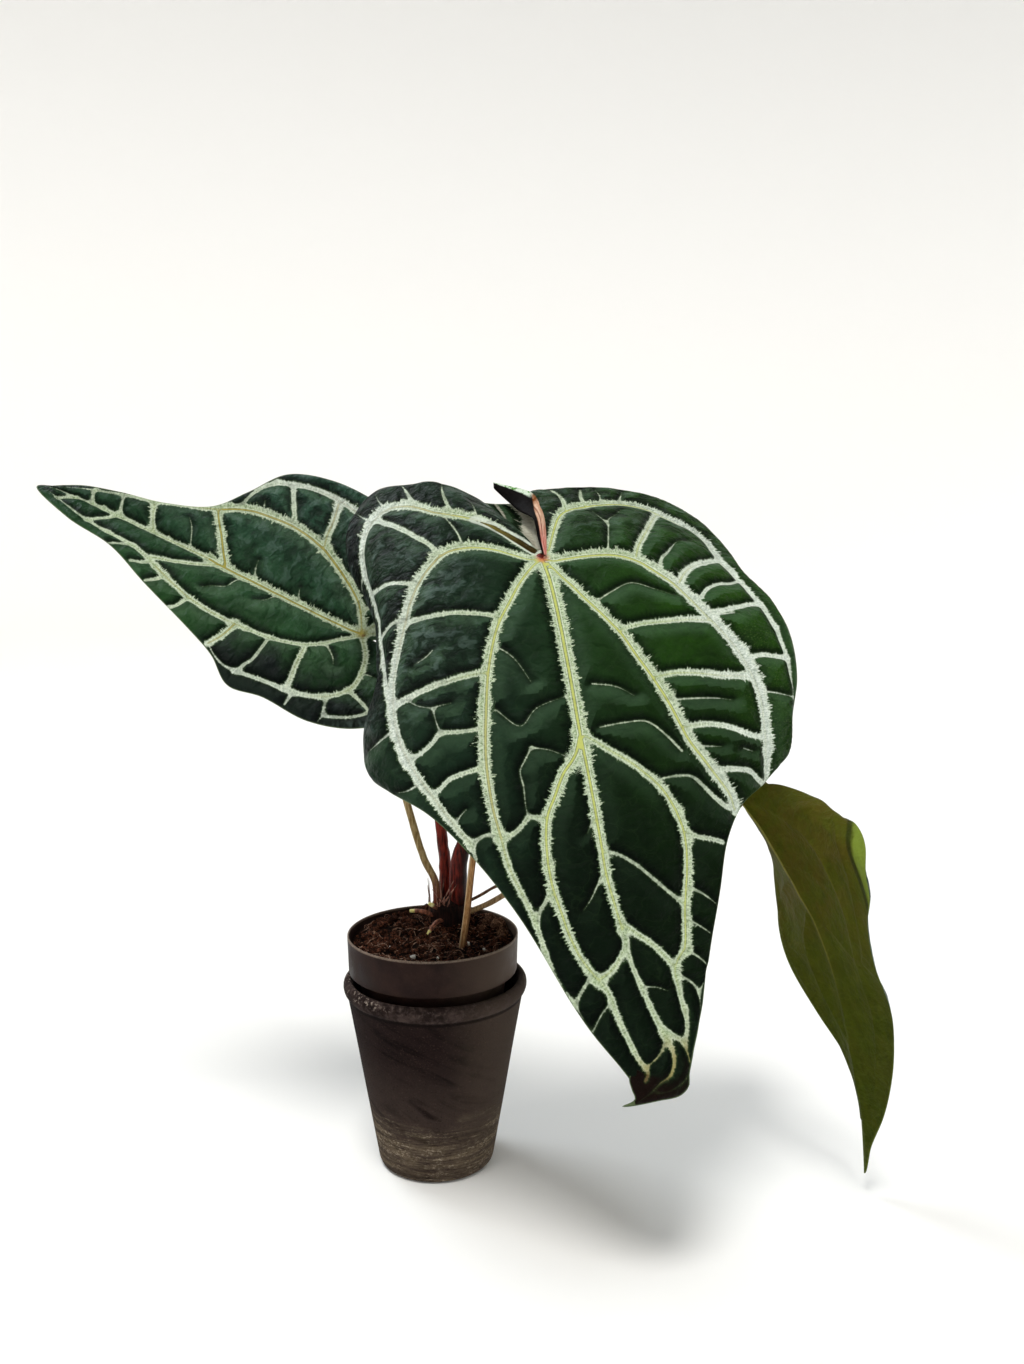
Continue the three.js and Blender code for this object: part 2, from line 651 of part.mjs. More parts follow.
add('outer_pot', outerPotGeometry(), clay);
add('nursery_pot', nurseryPotGeometry(), plastic, NURSERY_X);
add('potting_soil', soilGeometry(), soil, NURSERY_X);
add('crown_stem', turned(crownProfile(0)), petioleRed, ...CROWN_AXIS);
add('petiole_front', stem(PETIOLE_FRONT, 8, 18, FOOT_Z), petioleRed);
add('petiole_left', stem(PETIOLE_LEFT, 8, 16, FOOT_Z), petioleOlive);
add('petiole_right', stem(PETIOLE_RIGHT, 8, 18), petioleOlive);
add('leaf_front', leafGeometry(LEAF_FRONT), blade);
add('leaf_left', leafGeometry(LEAF_LEFT), blade);
add('leaf_right', leafGeometry(LEAF_RIGHT), blade);
add('new_shoot', stem(NEW_SHOOT, 8, 8, FOOT_Z), petioleRed);
add('cataphyll_left', stem(CATAPHYLL_LEFT, 8, 6, SOIL_Z + GAP, [0, -1, 0]), driedBrown);
add('cataphyll_right', stem(CATAPHYLL_RIGHT, 8, 6, SOIL_Z + GAP, [0.3, -1, 0]), driedBrown);
add('bamboo_stake', stakeGeometry(0), bamboo);
add('aerial_root', stem(AERIAL_ROOT, 6, 12, SOIL_Z + GAP), driedBrown);
add('root_left', stem(ROOT_LEFT, 6, 6, SOIL_Z + GAP), rootSkin);
add('root_middle', stem(ROOT_MIDDLE, 6, 6, SOIL_Z + GAP), rootSkin);
add('root_upper', stem(ROOT_UPPER, 6, 5, SOIL_Z + GAP), rootSkin);
add('dry_stub', stem(DRY_STUB, 6, 5, SOIL_Z + GAP), driedBrown);

export default group;
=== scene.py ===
"""The looks of a potted Anthurium crystallinum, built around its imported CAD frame.

Lengths are in millimetres until mesh_object() turns a finished piece into metres. The origin is the
centre of the cover pot's underside, +X is to the right, -Y is towards the viewer and +Z is up.
"""

import math

import bpy
import numpy as np
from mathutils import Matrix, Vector
from mathutils.geometry import delaunay_2d_cdt


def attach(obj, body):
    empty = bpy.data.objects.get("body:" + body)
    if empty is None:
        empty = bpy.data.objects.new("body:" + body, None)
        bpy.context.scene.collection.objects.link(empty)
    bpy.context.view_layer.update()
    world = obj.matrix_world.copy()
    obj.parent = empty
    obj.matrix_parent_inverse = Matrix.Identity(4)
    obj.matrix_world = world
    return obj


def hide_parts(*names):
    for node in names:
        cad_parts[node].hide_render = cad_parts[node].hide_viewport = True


MM = 0.001

# ------------------------------------------------------------------------------------ leaf shapes
#
# A leaf is drawn flat: u runs across the blade and v along the midrib, with the petiole at (0, 0),
# the tip at positive v and the basal lobes at negative v. Each [v, value] table gives a property of
# the bent blade along the midrib, in degrees: heading (0 towards -Y, 90 towards +X), pitch (fall of
# the midrib), roll (turn about the midrib), sway (sideways turn within the blade), and for each half
# the fold where it leaves the midrib, the curl for each 100 mm outwards, and the extra curl (hem)
# outside the distance inner. A margin roll bends the blade beyond a line round a radius.

LEAF_FRONT = {
    "base": (73.3, -55, 433),
    "reach": (-160, 386),
    "heading": [(-160, 0), (-80, 4), (0, 8), (150, 6), (300, 8), (386, 10)],
    "pitch": [(-160, 10), (-80, 24), (0, 36), (70, 58), (150, 74), (240, 80), (386, 84)],
    "roll": [(0, 0)],
    "sway": [(-160, 0), (-10, 3), (60, 4), (130, 7), (200, 10), (280, 17), (312, 34), (328, 20),
             (345, -40), (365, -58), (386, -62)],
    "right": {
        "fold": [(-160, -8), (0, -6), (100, 0), (386, 0)],
        "curl": [(-160, 24), (0, 22), (60, 14), (120, 12), (250, 30), (386, 40)],
        "inner": [(-160, 110), (0, 120), (100, 125), (200, 70), (386, 90)],
        "hem": [(-160, 20), (0, 0), (120, 30), (200, 60), (386, 0)],
    },
    "left": {
        "fold": [(-160, -8), (0, -6), (100, 0), (386, 0)],
        "curl": [(-160, 36), (0, 32), (120, 26), (250, 20), (386, 20)],
        "inner": [(-160, 95), (-40, 100), (0, 92), (30, 89), (60, 88), (95, 98), (200, 90),
                  (386, 90)],
        "hem": [(-160, 50), (-70, 90), (-40, 160), (0, 190), (50, 140), (90, 105), (124, 90),
                (200, 40), (386, 0)],
    },
    "lobe_rise": 0.28,
    "margin_roll": {"from": (0, 0), "to": (-60, -62), "radius": 30, "turn": 24, "upward": -1,
                    "left_of": 0, "before": 0},
    "outline": [(3, -6), (5, -35), (3, -62), (2, -82), (28, -87), (62, -89), (100, -84), (126, -66),
                (142, -36), (146, -6), (155, 22), (158, 62), (154, 100), (146, 130), (146, 158),
                (126, 175), (102, 186), (85, 208), (74, 233), (62, 260), (53, 284), (46, 304),
                (26, 321), (16, 329), (12, 335), (13, 338.5), (11.5, 341.5), (3, 350), (-9, 371),
                (-8, 362), (-14, 360), (-20, 357), (-22, 350), (-24, 335), (-25, 319), (-27, 298),
                (-35, 272), (-54, 221), (-70, 191), (-96, 158), (-122, 140), (-146, 124),
                (-158, 92), (-162, 50), (-158, 0), (-148, -44), (-130, -76), (-104, -87),
                (-76, -78), (-48, -76), (-24, -72), (-12, -52), (-5, -28), (-2, -8)],
}

LEAF_LEFT = {
    "base": (-51, 25, 376),
    "reach": (-90, 274),
    "heading": [(0, -100)],
    "pitch": [(-90, -20), (0, -27), (100, -24), (274, -22)],
    "roll": [(0, -50)],
    "sway": [(0, 0)],
    "right": {
        "fold": [(-90, -18), (100, -16), (274, -30)],
        "curl": [(0, 20)],
        "inner": [(-90, 60), (80, 60), (274, 90)],
        "hem": [(-90, 60), (80, 60), (160, 0), (274, 0)],
    },
    "left": {
        "fold": [(-90, -14), (100, -12), (274, -20)],
        "curl": [(0, 14)],
        "inner": [(0, 400)],
        "hem": [(0, 0)],
    },
    "lobe_rise": 0,
    "margin_roll": None,
    "outline": [(0.3, -9), (0.2, -22), (0.3, -36), (9, -50), (30, -54), (54, -52), (72, -34),
                (82, -5), (82, 30), (86, 56), (73, 77), (64, 100), (47, 147), (31, 185), (25, 223),
                (7, 260), (-8, 237), (-16, 208), (-23, 172), (-36, 141), (-58, 125), (-86, 108),
                (-98, 78), (-98, 42), (-90, 4), (-76, -32), (-54, -52), (-30, -52), (-8, -50),
                (-0.3, -36), (-0.2, -22), (-0.3, -9)],
}

LEAF_RIGHT = {
    "base": (215.5, 0.5, 260),
    "reach": (-80, 271),
    "heading": [(-80, 72), (0, 69), (271, 56)],
    "pitch": [(-80, 34), (0, 60), (27, 64), (167, 76), (271, 82)],
    "roll": [(-80, -54), (0, -54), (271, -66)],
    "sway": [(-80, -6), (0, -11), (67, -14), (117, -5), (167, 0), (271, 4)],
    "right": {
        "fold": [(-80, -24), (-10, -34), (20, -36), (57, -14), (97, -4), (167, -14), (217, -45),
                 (271, -50)],
        "curl": [(-80, -10), (-10, -40), (27, -60), (77, -45), (127, -30), (271, -10)],
        "inner": [(0, 400)],
        "hem": [(0, 0)],
    },
    "left": {
        "fold": [(-80, -10), (27, -6), (77, 4), (117, 11), (152, 5), (271, -5)],
        "curl": [(-80, 20), (67, 20), (271, 10)],
        "inner": [(0, 400)],
        "hem": [(0, 0)],
    },
    "lobe_rise": 0,
    "margin_roll": {"from": (-26, 15), "to": (-90, 74), "radius": 9, "turn": 150, "upward": 1,
                    "left_of": -4, "before": 271},
    "outline": [(3, -6), (12, -22), (26, -33), (44, -35), (58, -24), (70, -2), (78, 30), (74, 67),
                (64, 97), (56, 127), (44, 157), (30, 192), (15, 229), (0, 269), (-8, 247),
                (-22, 222), (-36, 193), (-48, 167), (-58, 147), (-66, 127), (-76, 97), (-92, 84),
                (-95, 66), (-82, 38), (-73, 17), (-60, -2), (-42, -14), (-24, -17), (-10, -12),
                (-3, -6)],
}

# ------------------------------------------------------------------------------------ leaf veins
#
# Each vein is (width of its pale band where it starts, width where it ends, its path in u and v).

VEINS_FRONT = [
    # midrib and its fork
    (10, 9, [(0, 0), (1, 20), (1.5, 60), (2, 126)]),
    (8, 5, [(2, 126), (3, 160), (3, 190), (2.5, 212), (4, 232), (5, 243)]),
    (2.5, 4, [(5, 243), (6, 262), (8, 278), (9, 292), (7, 312)]),
    (4, 1.5, [(7, 312), (5, 326), (1, 335), (-4, 342), (-5, 352), (-6, 362)]),
    (8, 6, [(2, 126), (-3, 138), (-12, 148), (-19, 160), (-25, 170), (-28, 181), (-30, 197)]),
    (6, 5, [(-30, 197), (-30, 211), (-28, 226), (-26, 240), (-21.7, 255), (-15, 268)]),
    (4, 3, [(-15, 268), (-11, 277), (-11, 288), (-12, 301), (-14, 315), (-13, 325), (-13, 340),
            (-12, 349)]),
    (4, 6, [(2, 126), (8, 130), (20, 140), (30, 148), (42, 161), (48, 170), (52.5, 181)]),
    (6, 6, [(52.5, 181), (55, 193), (55, 204), (52.5, 218), (49, 230), (46, 241), (44, 254),
            (41, 265)]),
    (6, 3, [(41, 265), (34, 272), (31, 279), (30, 291), (27.5, 302), (25, 310)]),
    (3, 1.5, [(25, 310), (20, 318), (14, 324), (12, 334), (4, 342), (-2, 349)]),
    (4, 4, [(5, 239), (13, 247), (22, 257), (27, 265), (31.5, 275)]),
    (3, 2.5, [(7.5, 311), (11.7, 318), (14, 324)]),
    (2.5, 2, [(6, 316), (-2, 321), (-13, 324)]),
    (5, 2.5, [(-15, 268), (-6.7, 265), (0, 259), (5, 252), (5.3, 243)]),
    # first pair beside the midrib
    (6, 7, [(0, 0), (-8, 9), (-18, 22), (-28, 38), (-36, 51), (-42, 66), (-47, 83), (-50.5, 100)]),
    (8, 6, [(-50.5, 100), (-54, 120), (-56, 138), (-56.3, 160), (-54.5, 178)]),
    (5, 3, [(-54.5, 178), (-52.5, 196), (-48, 212), (-44, 228), (-41.7, 247)]),
    (3, 1, [(-41.7, 247), (-38, 262), (-32, 277), (-28.5, 290)]),
    (6, 7, [(0, 0), (6, 13), (17, 33), (28, 50), (38, 65), (45, 80), (52, 94), (58, 108)]),
    (7, 8, [(58, 108), (63, 122), (68, 137), (76, 152), (84, 166), (91, 178), (95, 189)]),
    # second pair
    (5, 8, [(0, 0), (-8, 2), (-18, -3), (-28, -8), (-38, -11.7), (-48, -13), (-58, -12.5),
            (-66, -9)]),
    (8, 6, [(-66, -9), (-73, -2), (-79, 6), (-84, 14), (-88.5, 24), (-93, 36), (-98.5, 48),
            (-103.5, 60)]),
    (6, 7, [(-103.5, 60), (-107.5, 72), (-109, 85), (-109.5, 97), (-108, 110), (-104, 123)]),
    (6, 4, [(-104, 123), (-99, 135), (-92, 147), (-85, 160), (-78, 171), (-72.5, 179)]),
    (3, 1.5, [(-72.5, 179), (-71, 188), (-69, 196)]),
    (6, 10, [(0, 0), (6, 4), (15, 3), (28, 1), (40, 0), (51, 1), (61, 5), (71, 14)]),
    (9, 9, [(71, 14), (81, 25), (88, 36), (95, 48), (101.5, 58), (108, 68), (114, 80)]),
    (9, 7, [(114, 80), (119, 94), (121.7, 108), (122.5, 122), (122, 138), (122.5, 153)]),
    (7, 6, [(122.5, 153), (124, 164), (126, 174)]),
    # lobe veins
    (9, 8, [(0, 0), (-8, -10), (-15, -18), (-22, -28), (-31, -35), (-42, -40), (-52, -43)]),
    (6, 8, [(-52, -43), (-64, -47), (-72, -53), (-80, -58.5), (-89, -62.5), (-98, -64),
            (-107, -60)]),
    (8, 5, [(-107, -60), (-115, -52), (-120, -42), (-121.5, -26), (-120.5, -12), (-118, 2)]),
    (5, 4, [(-118, 2), (-117, 18), (-117, 36), (-117, 56), (-114, 74), (-110, 90)]),
    (5, 8, [(0, 0), (5, -6), (10, -20), (14, -32), (20, -47), (27, -55), (38, -59)]),
    (7, 7, [(38, -59), (51, -62.5), (66, -66), (78, -65.5), (88, -62), (96, -57), (105, -52.5)]),
    (7, 7, [(105, -52.5), (116, -47.5), (123, -38), (126.7, -25), (128.5, -12), (132, -1)]),
    (6, 4, [(132, -1), (135, 9), (138, 20), (141, 32), (144, 44), (146.7, 58)]),
    (4, 1.5, [(146.7, 58), (148, 74), (149, 88), (148, 105), (146, 121)]),
    # cross veins of the right half
    (1.5, 1, [(28, 41), (38, 35), (52, 28), (66, 33), (78, 38)]),
    (3.5, 5, [(39, 62), (52, 59), (67, 57.5), (82, 56), (97, 56)]),
    (4, 6, [(53, 96), (67, 94), (82, 95), (98, 97.5), (116, 99)]),
    (1.6, 1.4, [(63, 112), (77, 112.5), (92, 114), (101, 116)]),
    (4, 4, [(66, 130), (82, 130), (93, 132.5), (103, 137), (113, 142), (121, 143)]),
    (1.2, 1, [(77, 144), (88, 146)]),
    (1.2, 1, [(103, 149), (110, 152)]),
    (4, 3.5, [(84, 160), (97, 162), (108, 165), (116, 172), (123, 176)]),
    (3, 3, [(55, 194), (63, 200), (73, 204), (81, 208)]),
    (1.5, 3.5, [(47, 160), (57, 160), (66, 162), (73, 170), (80, 179), (88, 186), (94, 187)]),
    (2, 1, [(52, 229), (60, 235), (68, 244)]),
    (1.6, 1, [(46, 247), (53, 253), (60.5, 262)]),
    (2, 1, [(42, 267), (47, 273), (51, 282), (51.5, 291)]),
    (1.8, 1.5, [(33, 282), (37, 292), (38, 307), (31, 317)]),
    (1.5, 1.2, [(38, 308), (45, 304)]),
    (2, 2.5, [(6, 197), (12, 200), (20, 207), (27, 215), (35, 225), (41.7, 233), (46, 238)]),
    (1, 0.8, [(9, 279), (17, 283), (22, 289)]),
    (1.3, 1, [(14, 97), (28, 100), (38, 107)]),
    (1.2, 1.8, [(14, 124), (30, 123), (43, 124), (53, 133), (62, 145)]),
    # from the second right vein to the lobe vein
    (1.5, 1, [(44, -5), (46.7, -17), (49, -28), (51, -38), (57, -45), (62.5, -53)]),
    (1, 0.8, [(49, -32), (45, -42), (41.7, -49)]),
    (5, 5, [(62, 1), (66, -10), (72, -22), (77, -32), (82, -43), (86, -52), (90, -60)]),
    (3, 1, [(76, 11), (79, 2), (84, -4), (90, -13), (96, -21), (102, -24)]),
    (6, 5, [(86, 24), (94, 12), (103, 3), (115, -5), (126, -13)]),
    (3, 2.5, [(97, 38), (105, 28), (115, 21.7), (125, 19), (134, 12)]),
    (4, 4, [(100, 50), (112, 47), (123, 43), (133, 39), (142, 37)]),
    (1.5, 0.8, [(106, 52), (118, 50)]),
    (4, 3.5, [(118, 86), (128, 83), (138, 83.7), (148, 85)]),
    (1.6, 1.4, [(123, 111), (133, 112.5), (142, 115), (147, 117)]),
    (1.2, 0.8, [(140, 165), (147, 167)]),
    # from the right lobe vein to the margin
    (4, 2, [(25, -54), (25, -66), (23, -76), (19, -83)]),
    (3.5, 2, [(39, -60), (38, -72), (39, -82)]),
    (1.2, 1, [(50, -64), (51, -73), (49, -82)]),
    (2, 1, [(63, -67), (66, -75), (68, -82)]),
    # cross veins of the left half
    (3, 3.5, [(-33, 48), (-42, 44), (-51, 41.5), (-61, 39), (-72, 37.5), (-82, 36.7), (-93, 37)]),
    (4, 4, [(-47, 81), (-58, 81), (-72, 82), (-85, 84), (-98, 87), (-108, 90)]),
    (2.5, 3, [(-53, 114), (-68, 113.7), (-80, 112.5), (-87, 117.5), (-95, 122), (-103, 124)]),
    (1.2, 1, [(-80, 112), (-82, 103), (-81.5, 97), (-71, 96)]),
    (1, 0.8, [(-82, 97), (-92, 93), (-98, 88)]),
    (1.2, 1.4, [(-78, 61), (-82, 64), (-90, 67.5)]),
    (3, 3, [(-56, 136.5), (-70, 138), (-79, 140), (-85, 144), (-91, 147)]),
    (1, 0.8, [(-72, 159), (-76, 162), (-80, 166)]),
    (2, 2.5, [(-55, 177), (-62, 175), (-68, 176.7), (-73, 179)]),
    (3, 2.5, [(-53, 179), (-45, 176), (-40, 172.5), (-36, 169), (-31.7, 170), (-26, 171)]),
    (1.2, 1.5, [(-28, 130), (-33, 137), (-36.5, 142), (-36, 152), (-36.7, 162), (-36.5, 169)]),
    (1, 0.8, [(-28, 130), (-18, 133), (-9, 138)]),
    (1, 0.8, [(-45, 105), (-32, 116.7), (-22, 108), (-4, 103)]),
    (1, 0.8, [(-40, 66), (-30, 76), (-22, 92)]),
    (3, 2, [(-30, 212), (-33, 215), (-40, 223), (-43.5, 230)]),
    (2, 2, [(-20, 266), (-27, 272), (-32, 277)]),
    (1.2, 1, [(-12, 282), (-17, 284), (-28, 291)]),
    (1.8, 0.8, [(2, 208), (-3, 213), (-9, 221), (-15, 227)]),
    (1, 0.7, [(1, 176), (-4, 184)]),
    # left lobe: between its veins and out to the margin
    (4, 3, [(-104, -58), (-98, -52), (-91, -45), (-83, -36.7), (-76, -28), (-70, -21), (-65, -12)]),
    (1.6, 1.5, [(-49, -15), (-50.5, -24), (-54, -33), (-59, -42)]),
    (3, 3, [(-120, -10), (-110, -5), (-100, -1), (-92, 3), (-83, 9)]),
    (3, 3, [(-117, 36), (-109, 33), (-101, 32), (-93, 34)]),
    (3, 1.5, [(-76, -56), (-79, -65), (-83, -76), (-86, -82)]),
    (3, 1.5, [(-53, -44), (-55, -54), (-57, -64), (-57, -76)]),
    (2, 1, [(-37, -38), (-37, -48), (-39, -58)]),
    (1.5, 1, [(-96, -63), (-101, -72), (-104, -82)]),
    (1.5, 1, [(-108, -59), (-115, -68), (-121, -78)]),
    (2.5, 1.2, [(-121, -28), (-132, -30), (-144, -34)]),
    (2.5, 1.2, [(-118, 4), (-130, 8), (-146, 10)]),
    (2.5, 1.2, [(-117, 50), (-130, 56), (-150, 60)]),
    (2, 1, [(-109, 104), (-122, 108), (-140, 112)]),
    (1.5, 1, [(-97, 139), (-106, 142), (-114, 142)]),
]

VEINS_LEFT = [
    # midrib
    (7, 8, [(0, 0), (2, 20), (3, 45), (3, 80), (3, 100), (1.5, 122)]),
    (5, 3, [(1.5, 122), (1.4, 145), (0.8, 170), (0.2, 190), (-0.2, 210)]),
    (3, 0.8, [(-0.2, 210), (0.5, 224), (2, 234), (4, 249), (6, 257)]),
    # first vein above the midrib
    (5, 8, [(0, 0), (-6, 4), (-12, 8), (-19, 14), (-25, 22), (-31, 32), (-37, 43), (-43, 55)]),
    (8, 7, [(-43, 55), (-47, 70), (-49, 86), (-48, 101), (-46, 115), (-42, 125), (-37, 134)]),
    (5, 3, [(-37, 134), (-31.5, 146), (-28, 157), (-24, 169), (-20, 180)]),
    (3, 1.2, [(-20, 180), (-17.5, 194), (-14, 208), (-10.5, 221), (-6, 235), (-1.5, 247)]),
    # outer vein above the midrib
    (4, 5, [(0, 0), (-10, -4), (-24, -8), (-40, -6), (-56, 4), (-68, 18), (-78, 36), (-83, 52)]),
    (5, 4, [(-83, 52), (-84.5, 64), (-85, 76), (-84, 88), (-80, 100), (-75.5, 111)]),
    (4, 2, [(-75.5, 111), (-67, 118), (-56, 122), (-46, 123)]),
    (4, 3, [(0, 0), (-8, -12), (-22, -24), (-40, -30), (-58, -28), (-72, -12), (-82, 10)]),
    (5, 6, [(-45, 57), (-55, 60), (-67, 62), (-82, 66)]),
    (3.5, 3.5, [(-49, 85), (-55, 86.5), (-61, 90), (-71, 96), (-79, 100.5)]),
    (2.5, 0.8, [(-47, 109), (-52, 109), (-57, 111)]),
    (2, 1.2, [(-38, 138), (-41, 131), (-47, 124)]),
    (3, 3, [(-29, 28), (-42, 22), (-56, 18), (-68, 18)]),
    (3, 3, [(-14, 9), (-26, 2), (-38, -6)]),
    # cross veins to the midrib
    (7, 6, [(0, 111), (-9, 118), (-19, 125), (-28, 132), (-34, 136)]),
    (2, 0.8, [(0, 87), (-7, 90), (-13, 91)]),
    (2, 0.6, [(0, 52), (-5, 54), (-8, 55)]),
    (1, 1.5, [(0, 139), (-9, 143), (-16, 147), (-20, 151)]),
    (4, 4, [(0, 169), (-9, 175), (-19, 179)]),
    (3, 2, [(0, 196), (-6, 199), (-13, 201)]),
    (3, 2, [(0, 219), (-7, 222), (-11, 222)]),
    # first vein below the midrib
    (3.5, 3.5, [(0, 0), (7, 4), (15, 11), (25, 19), (33, 29), (38, 41), (41, 54), (42.6, 69)]),
    (4, 5, [(42.6, 69), (43.4, 86), (42.6, 101), (40.6, 115), (37.4, 127), (34, 137), (30, 148)]),
    (4, 3, [(30, 148), (26, 157), (23, 167), (21.4, 179), (20.6, 193)]),
    (3, 1.2, [(20.6, 193), (19.4, 207), (17.4, 219), (15, 229), (12, 241), (9, 251)]),
    (4, 4, [(4, 116), (8, 122), (13, 130), (17, 138), (20, 146), (24, 155)]),
    (3, 3, [(1, 199), (8, 203), (13, 207), (19, 211)]),
    (3, 2.5, [(1, 231), (6, 236), (12, 240)]),
    (1.2, 0.8, [(5, 94), (13, 97), (19, 99), (25, 108), (29, 112)]),
    (1, 0.7, [(6, 66), (15, 70), (19, 76)]),
    # outer vein below the midrib
    (4, 4, [(0, 0), (7, -5), (15, -11), (25, -15), (35, -17), (45, -17), (53, -13), (61, -5)]),
    (4, 2.5, [(61, -5), (67, 7), (69.6, 19), (71, 31), (73, 45), (75, 57)]),
    (2, 1.5, [(75, 57), (75, 67), (71, 77), (66, 84)]),
    (3, 2, [(49, -17), (52, -26), (57, -35), (65, -29), (71, -19), (73, -12), (64, -8)]),
    (1, 0.8, [(31, -17), (31, -28)]),
    (1.5, 1, [(73, -12), (79, -11)]),
    (2.5, 2, [(69, 14), (79, 14)]),
    (4, 4, [(36, 26), (49, 24), (61, 21), (69, 20)]),
    (2.5, 2.5, [(41, 51), (53, 50.4), (63, 51), (69, 54), (74, 54)]),
    (6, 5, [(43, 77), (55, 79), (66, 84)]),
    (1.8, 1, [(24, 15), (31, 6), (37, 2)]),
    (3, 3, [(41, 115), (53, 119), (56, 122)]),
    (3.5, 2.5, [(33, 138), (39, 141), (45, 147)]),
    (3, 2.5, [(28, 153), (33, 158), (36, 165)]),
    (2.5, 2, [(22, 171), (28, 182), (31, 187)]),
]

VEINS_RIGHT = [
    (6, 5, [(0, 0), (-1.4, 20), (-1.5, 40), (-2, 75), (-4, 91), (-5, 115)]),
    (5, 3, [(-5, 115), (-3.5, 135), (-3, 155), (-2, 175), (-2, 200)]),
    (3, 0.8, [(-2, 200), (-3, 225), (-2, 245), (-1, 262)]),
    (4, 5, [(0, 0), (-10, 4), (-19, 14), (-29, 27), (-37, 39), (-42.6, 55), (-45, 72)]),
    (5, 3, [(-45, 72), (-47, 88), (-46, 103), (-42, 116), (-38, 128), (-36, 145)]),
    (3, 1, [(-36, 145), (-32, 161), (-27, 177), (-20, 196), (-11, 222)]),
    (4, 5, [(0, 0), (5, 18), (15, 33), (27, 41), (38, 50), (46, 62), (50, 80)]),
    (4, 2, [(50, 80), (50, 98), (46, 120), (38, 142), (28, 168), (16, 200), (6, 232)]),
    (3, 2.5, [(-1, 83), (9, 93), (17, 104), (20, 120), (19, 138), (12, 158), (0, 176)]),
    (4, 4, [(0, 0), (12, 4), (26, 4), (44, 8), (58, 18), (66, 34), (66, 56)]),
    (3, 3, [(0, 0), (-12, -4), (-30, -2), (-48, 8), (-62, 24), (-70, 44), (-70, 70)]),
    (2.5, 2, [(-70, 70), (-62, 92), (-56, 112), (-46, 118)]),
    (2, 2, [(-44, 73), (-33, 73), (-21, 61), (-12, 54), (-2, 50)]),
    (2, 2, [(-4, 93), (-16, 98), (-27, 106), (-38, 116)]),
    (2, 2, [(-42, 114), (-55, 120), (-66, 125)]),
    (2, 2, [(-43, 55), (-56, 58), (-69, 62)]),
    (2, 2, [(-30, 28), (-44, 24), (-62, 26)]),
    (2, 2, [(32, 46), (44, 36), (62, 28)]),
    (2, 2, [(47, 64), (56, 60), (66, 58)]),
    (2, 2, [(0, 60), (16, 62), (32, 66), (48, 72)]),
    (2, 2, [(20, 116), (34, 112), (47, 108)]),
]

# The vein of the front leaf's left lobe lies in a sharp groove near the petiole.
LOBE_GROOVE = [(-4, -7), (-11, -16), (-19, -25), (-27, -31.5), (-37, -37)]

LEAF_SHEET_THICKNESS = 0.55
BULGE = 3.0              # how far the blade swells between its veins
BULGE_REACH = 5.5        # distance from a vein over which it does so
VEIN_GROOVE = 0.9        # how deep a main vein is sunk into the upper side
VEIN_RIDGE = 1.1         # how far it stands out underneath
FULL_VEIN = 6.0          # veins at least this wide are sunk in full
UNEVENNESS = [(0.35, 9, 5), (0.6, 34, 6)]    # height, size and seed of the skin's own waves
PETIOLE_END_GAP = 0.4    # between a stalk's end and the back of its blade

# ------------------------------------------------------------------------------------ curves


def along(table, v):
    """Smooth curve through a table of (v, value) pairs, held constant past both ends."""
    knots, values = np.array(table, float).T
    v = np.asarray(v, float)
    if len(knots) == 1:
        return np.full_like(v, values[0])
    slopes = np.gradient(values, knots)
    v = np.clip(v, knots[0], knots[-1])
    k = np.clip(np.searchsorted(knots, v, side="right") - 1, 0, len(knots) - 2)
    width = knots[k + 1] - knots[k]
    t = (v - knots[k]) / width
    return ((2 * t**3 - 3 * t**2 + 1) * values[k] + (t**3 - 2 * t**2 + t) * width * slopes[k]
            + (3 * t**2 - 2 * t**3) * values[k + 1] + (t**3 - t**2) * width * slopes[k + 1])


def smooth_curve(corners, closed, per_span):
    """Centripetal Catmull-Rom curve through corners, with per_span points from each to the next."""
    corners = np.array(corners, float)
    count = len(corners)
    spans = count if closed else count - 1
    points = []
    for k in range(spans):
        before = corners[k - 1] if closed or k else 2 * corners[0] - corners[1]
        start = corners[k]
        end = corners[(k + 1) % count]
        after = corners[(k + 2) % count] if closed or k < count - 2 else 2 * end - start
        t0 = 0
        t1 = t0 + math.sqrt(max(np.linalg.norm(start - before), 1e-6))
        t2 = t1 + math.sqrt(max(np.linalg.norm(end - start), 1e-6))
        t3 = t2 + math.sqrt(max(np.linalg.norm(after - end), 1e-6))
        t = np.linspace(t1, t2, per_span, endpoint=False)[:, None]
        a1 = (t1 - t) / (t1 - t0) * before + (t - t0) / (t1 - t0) * start
        a2 = (t2 - t) / (t2 - t1) * start + (t - t1) / (t2 - t1) * end
        a3 = (t3 - t) / (t3 - t2) * end + (t - t2) / (t3 - t2) * after
        b1 = (t2 - t) / (t2 - t0) * a1 + (t - t0) / (t2 - t0) * a2
        b2 = (t3 - t) / (t3 - t1) * a2 + (t - t1) / (t3 - t1) * a3
        points.append((t2 - t) / (t2 - t1) * b1 + (t - t1) / (t2 - t1) * b2)
    if not closed:
        points.append(corners[-1:])
    return np.vstack(points)


def resampled(points, step, closed=False):
    """The same polyline with points about one step apart, and the distance along it to each."""
    if closed:
        points = np.vstack([points, points[:1]])
    run = np.concatenate([[0], np.cumsum(np.linalg.norm(np.diff(points, axis=0), axis=1))])
    count = max(int(round(run[-1] / step)), 1)
    places = np.linspace(0, run[-1], count + 1)
    if closed:
        places = places[:-1]
    return np.stack([np.interp(places, run, axis) for axis in points.T], -1), places


def smoothstep(low, high, value):
    """0 up to low and 1 from high on, with a smooth rise between."""
    t = np.clip((value - low) / (high - low), 0, 1)
    return t * t * (3 - 2 * t)


LATTICE = 64             # cells before the noise repeats


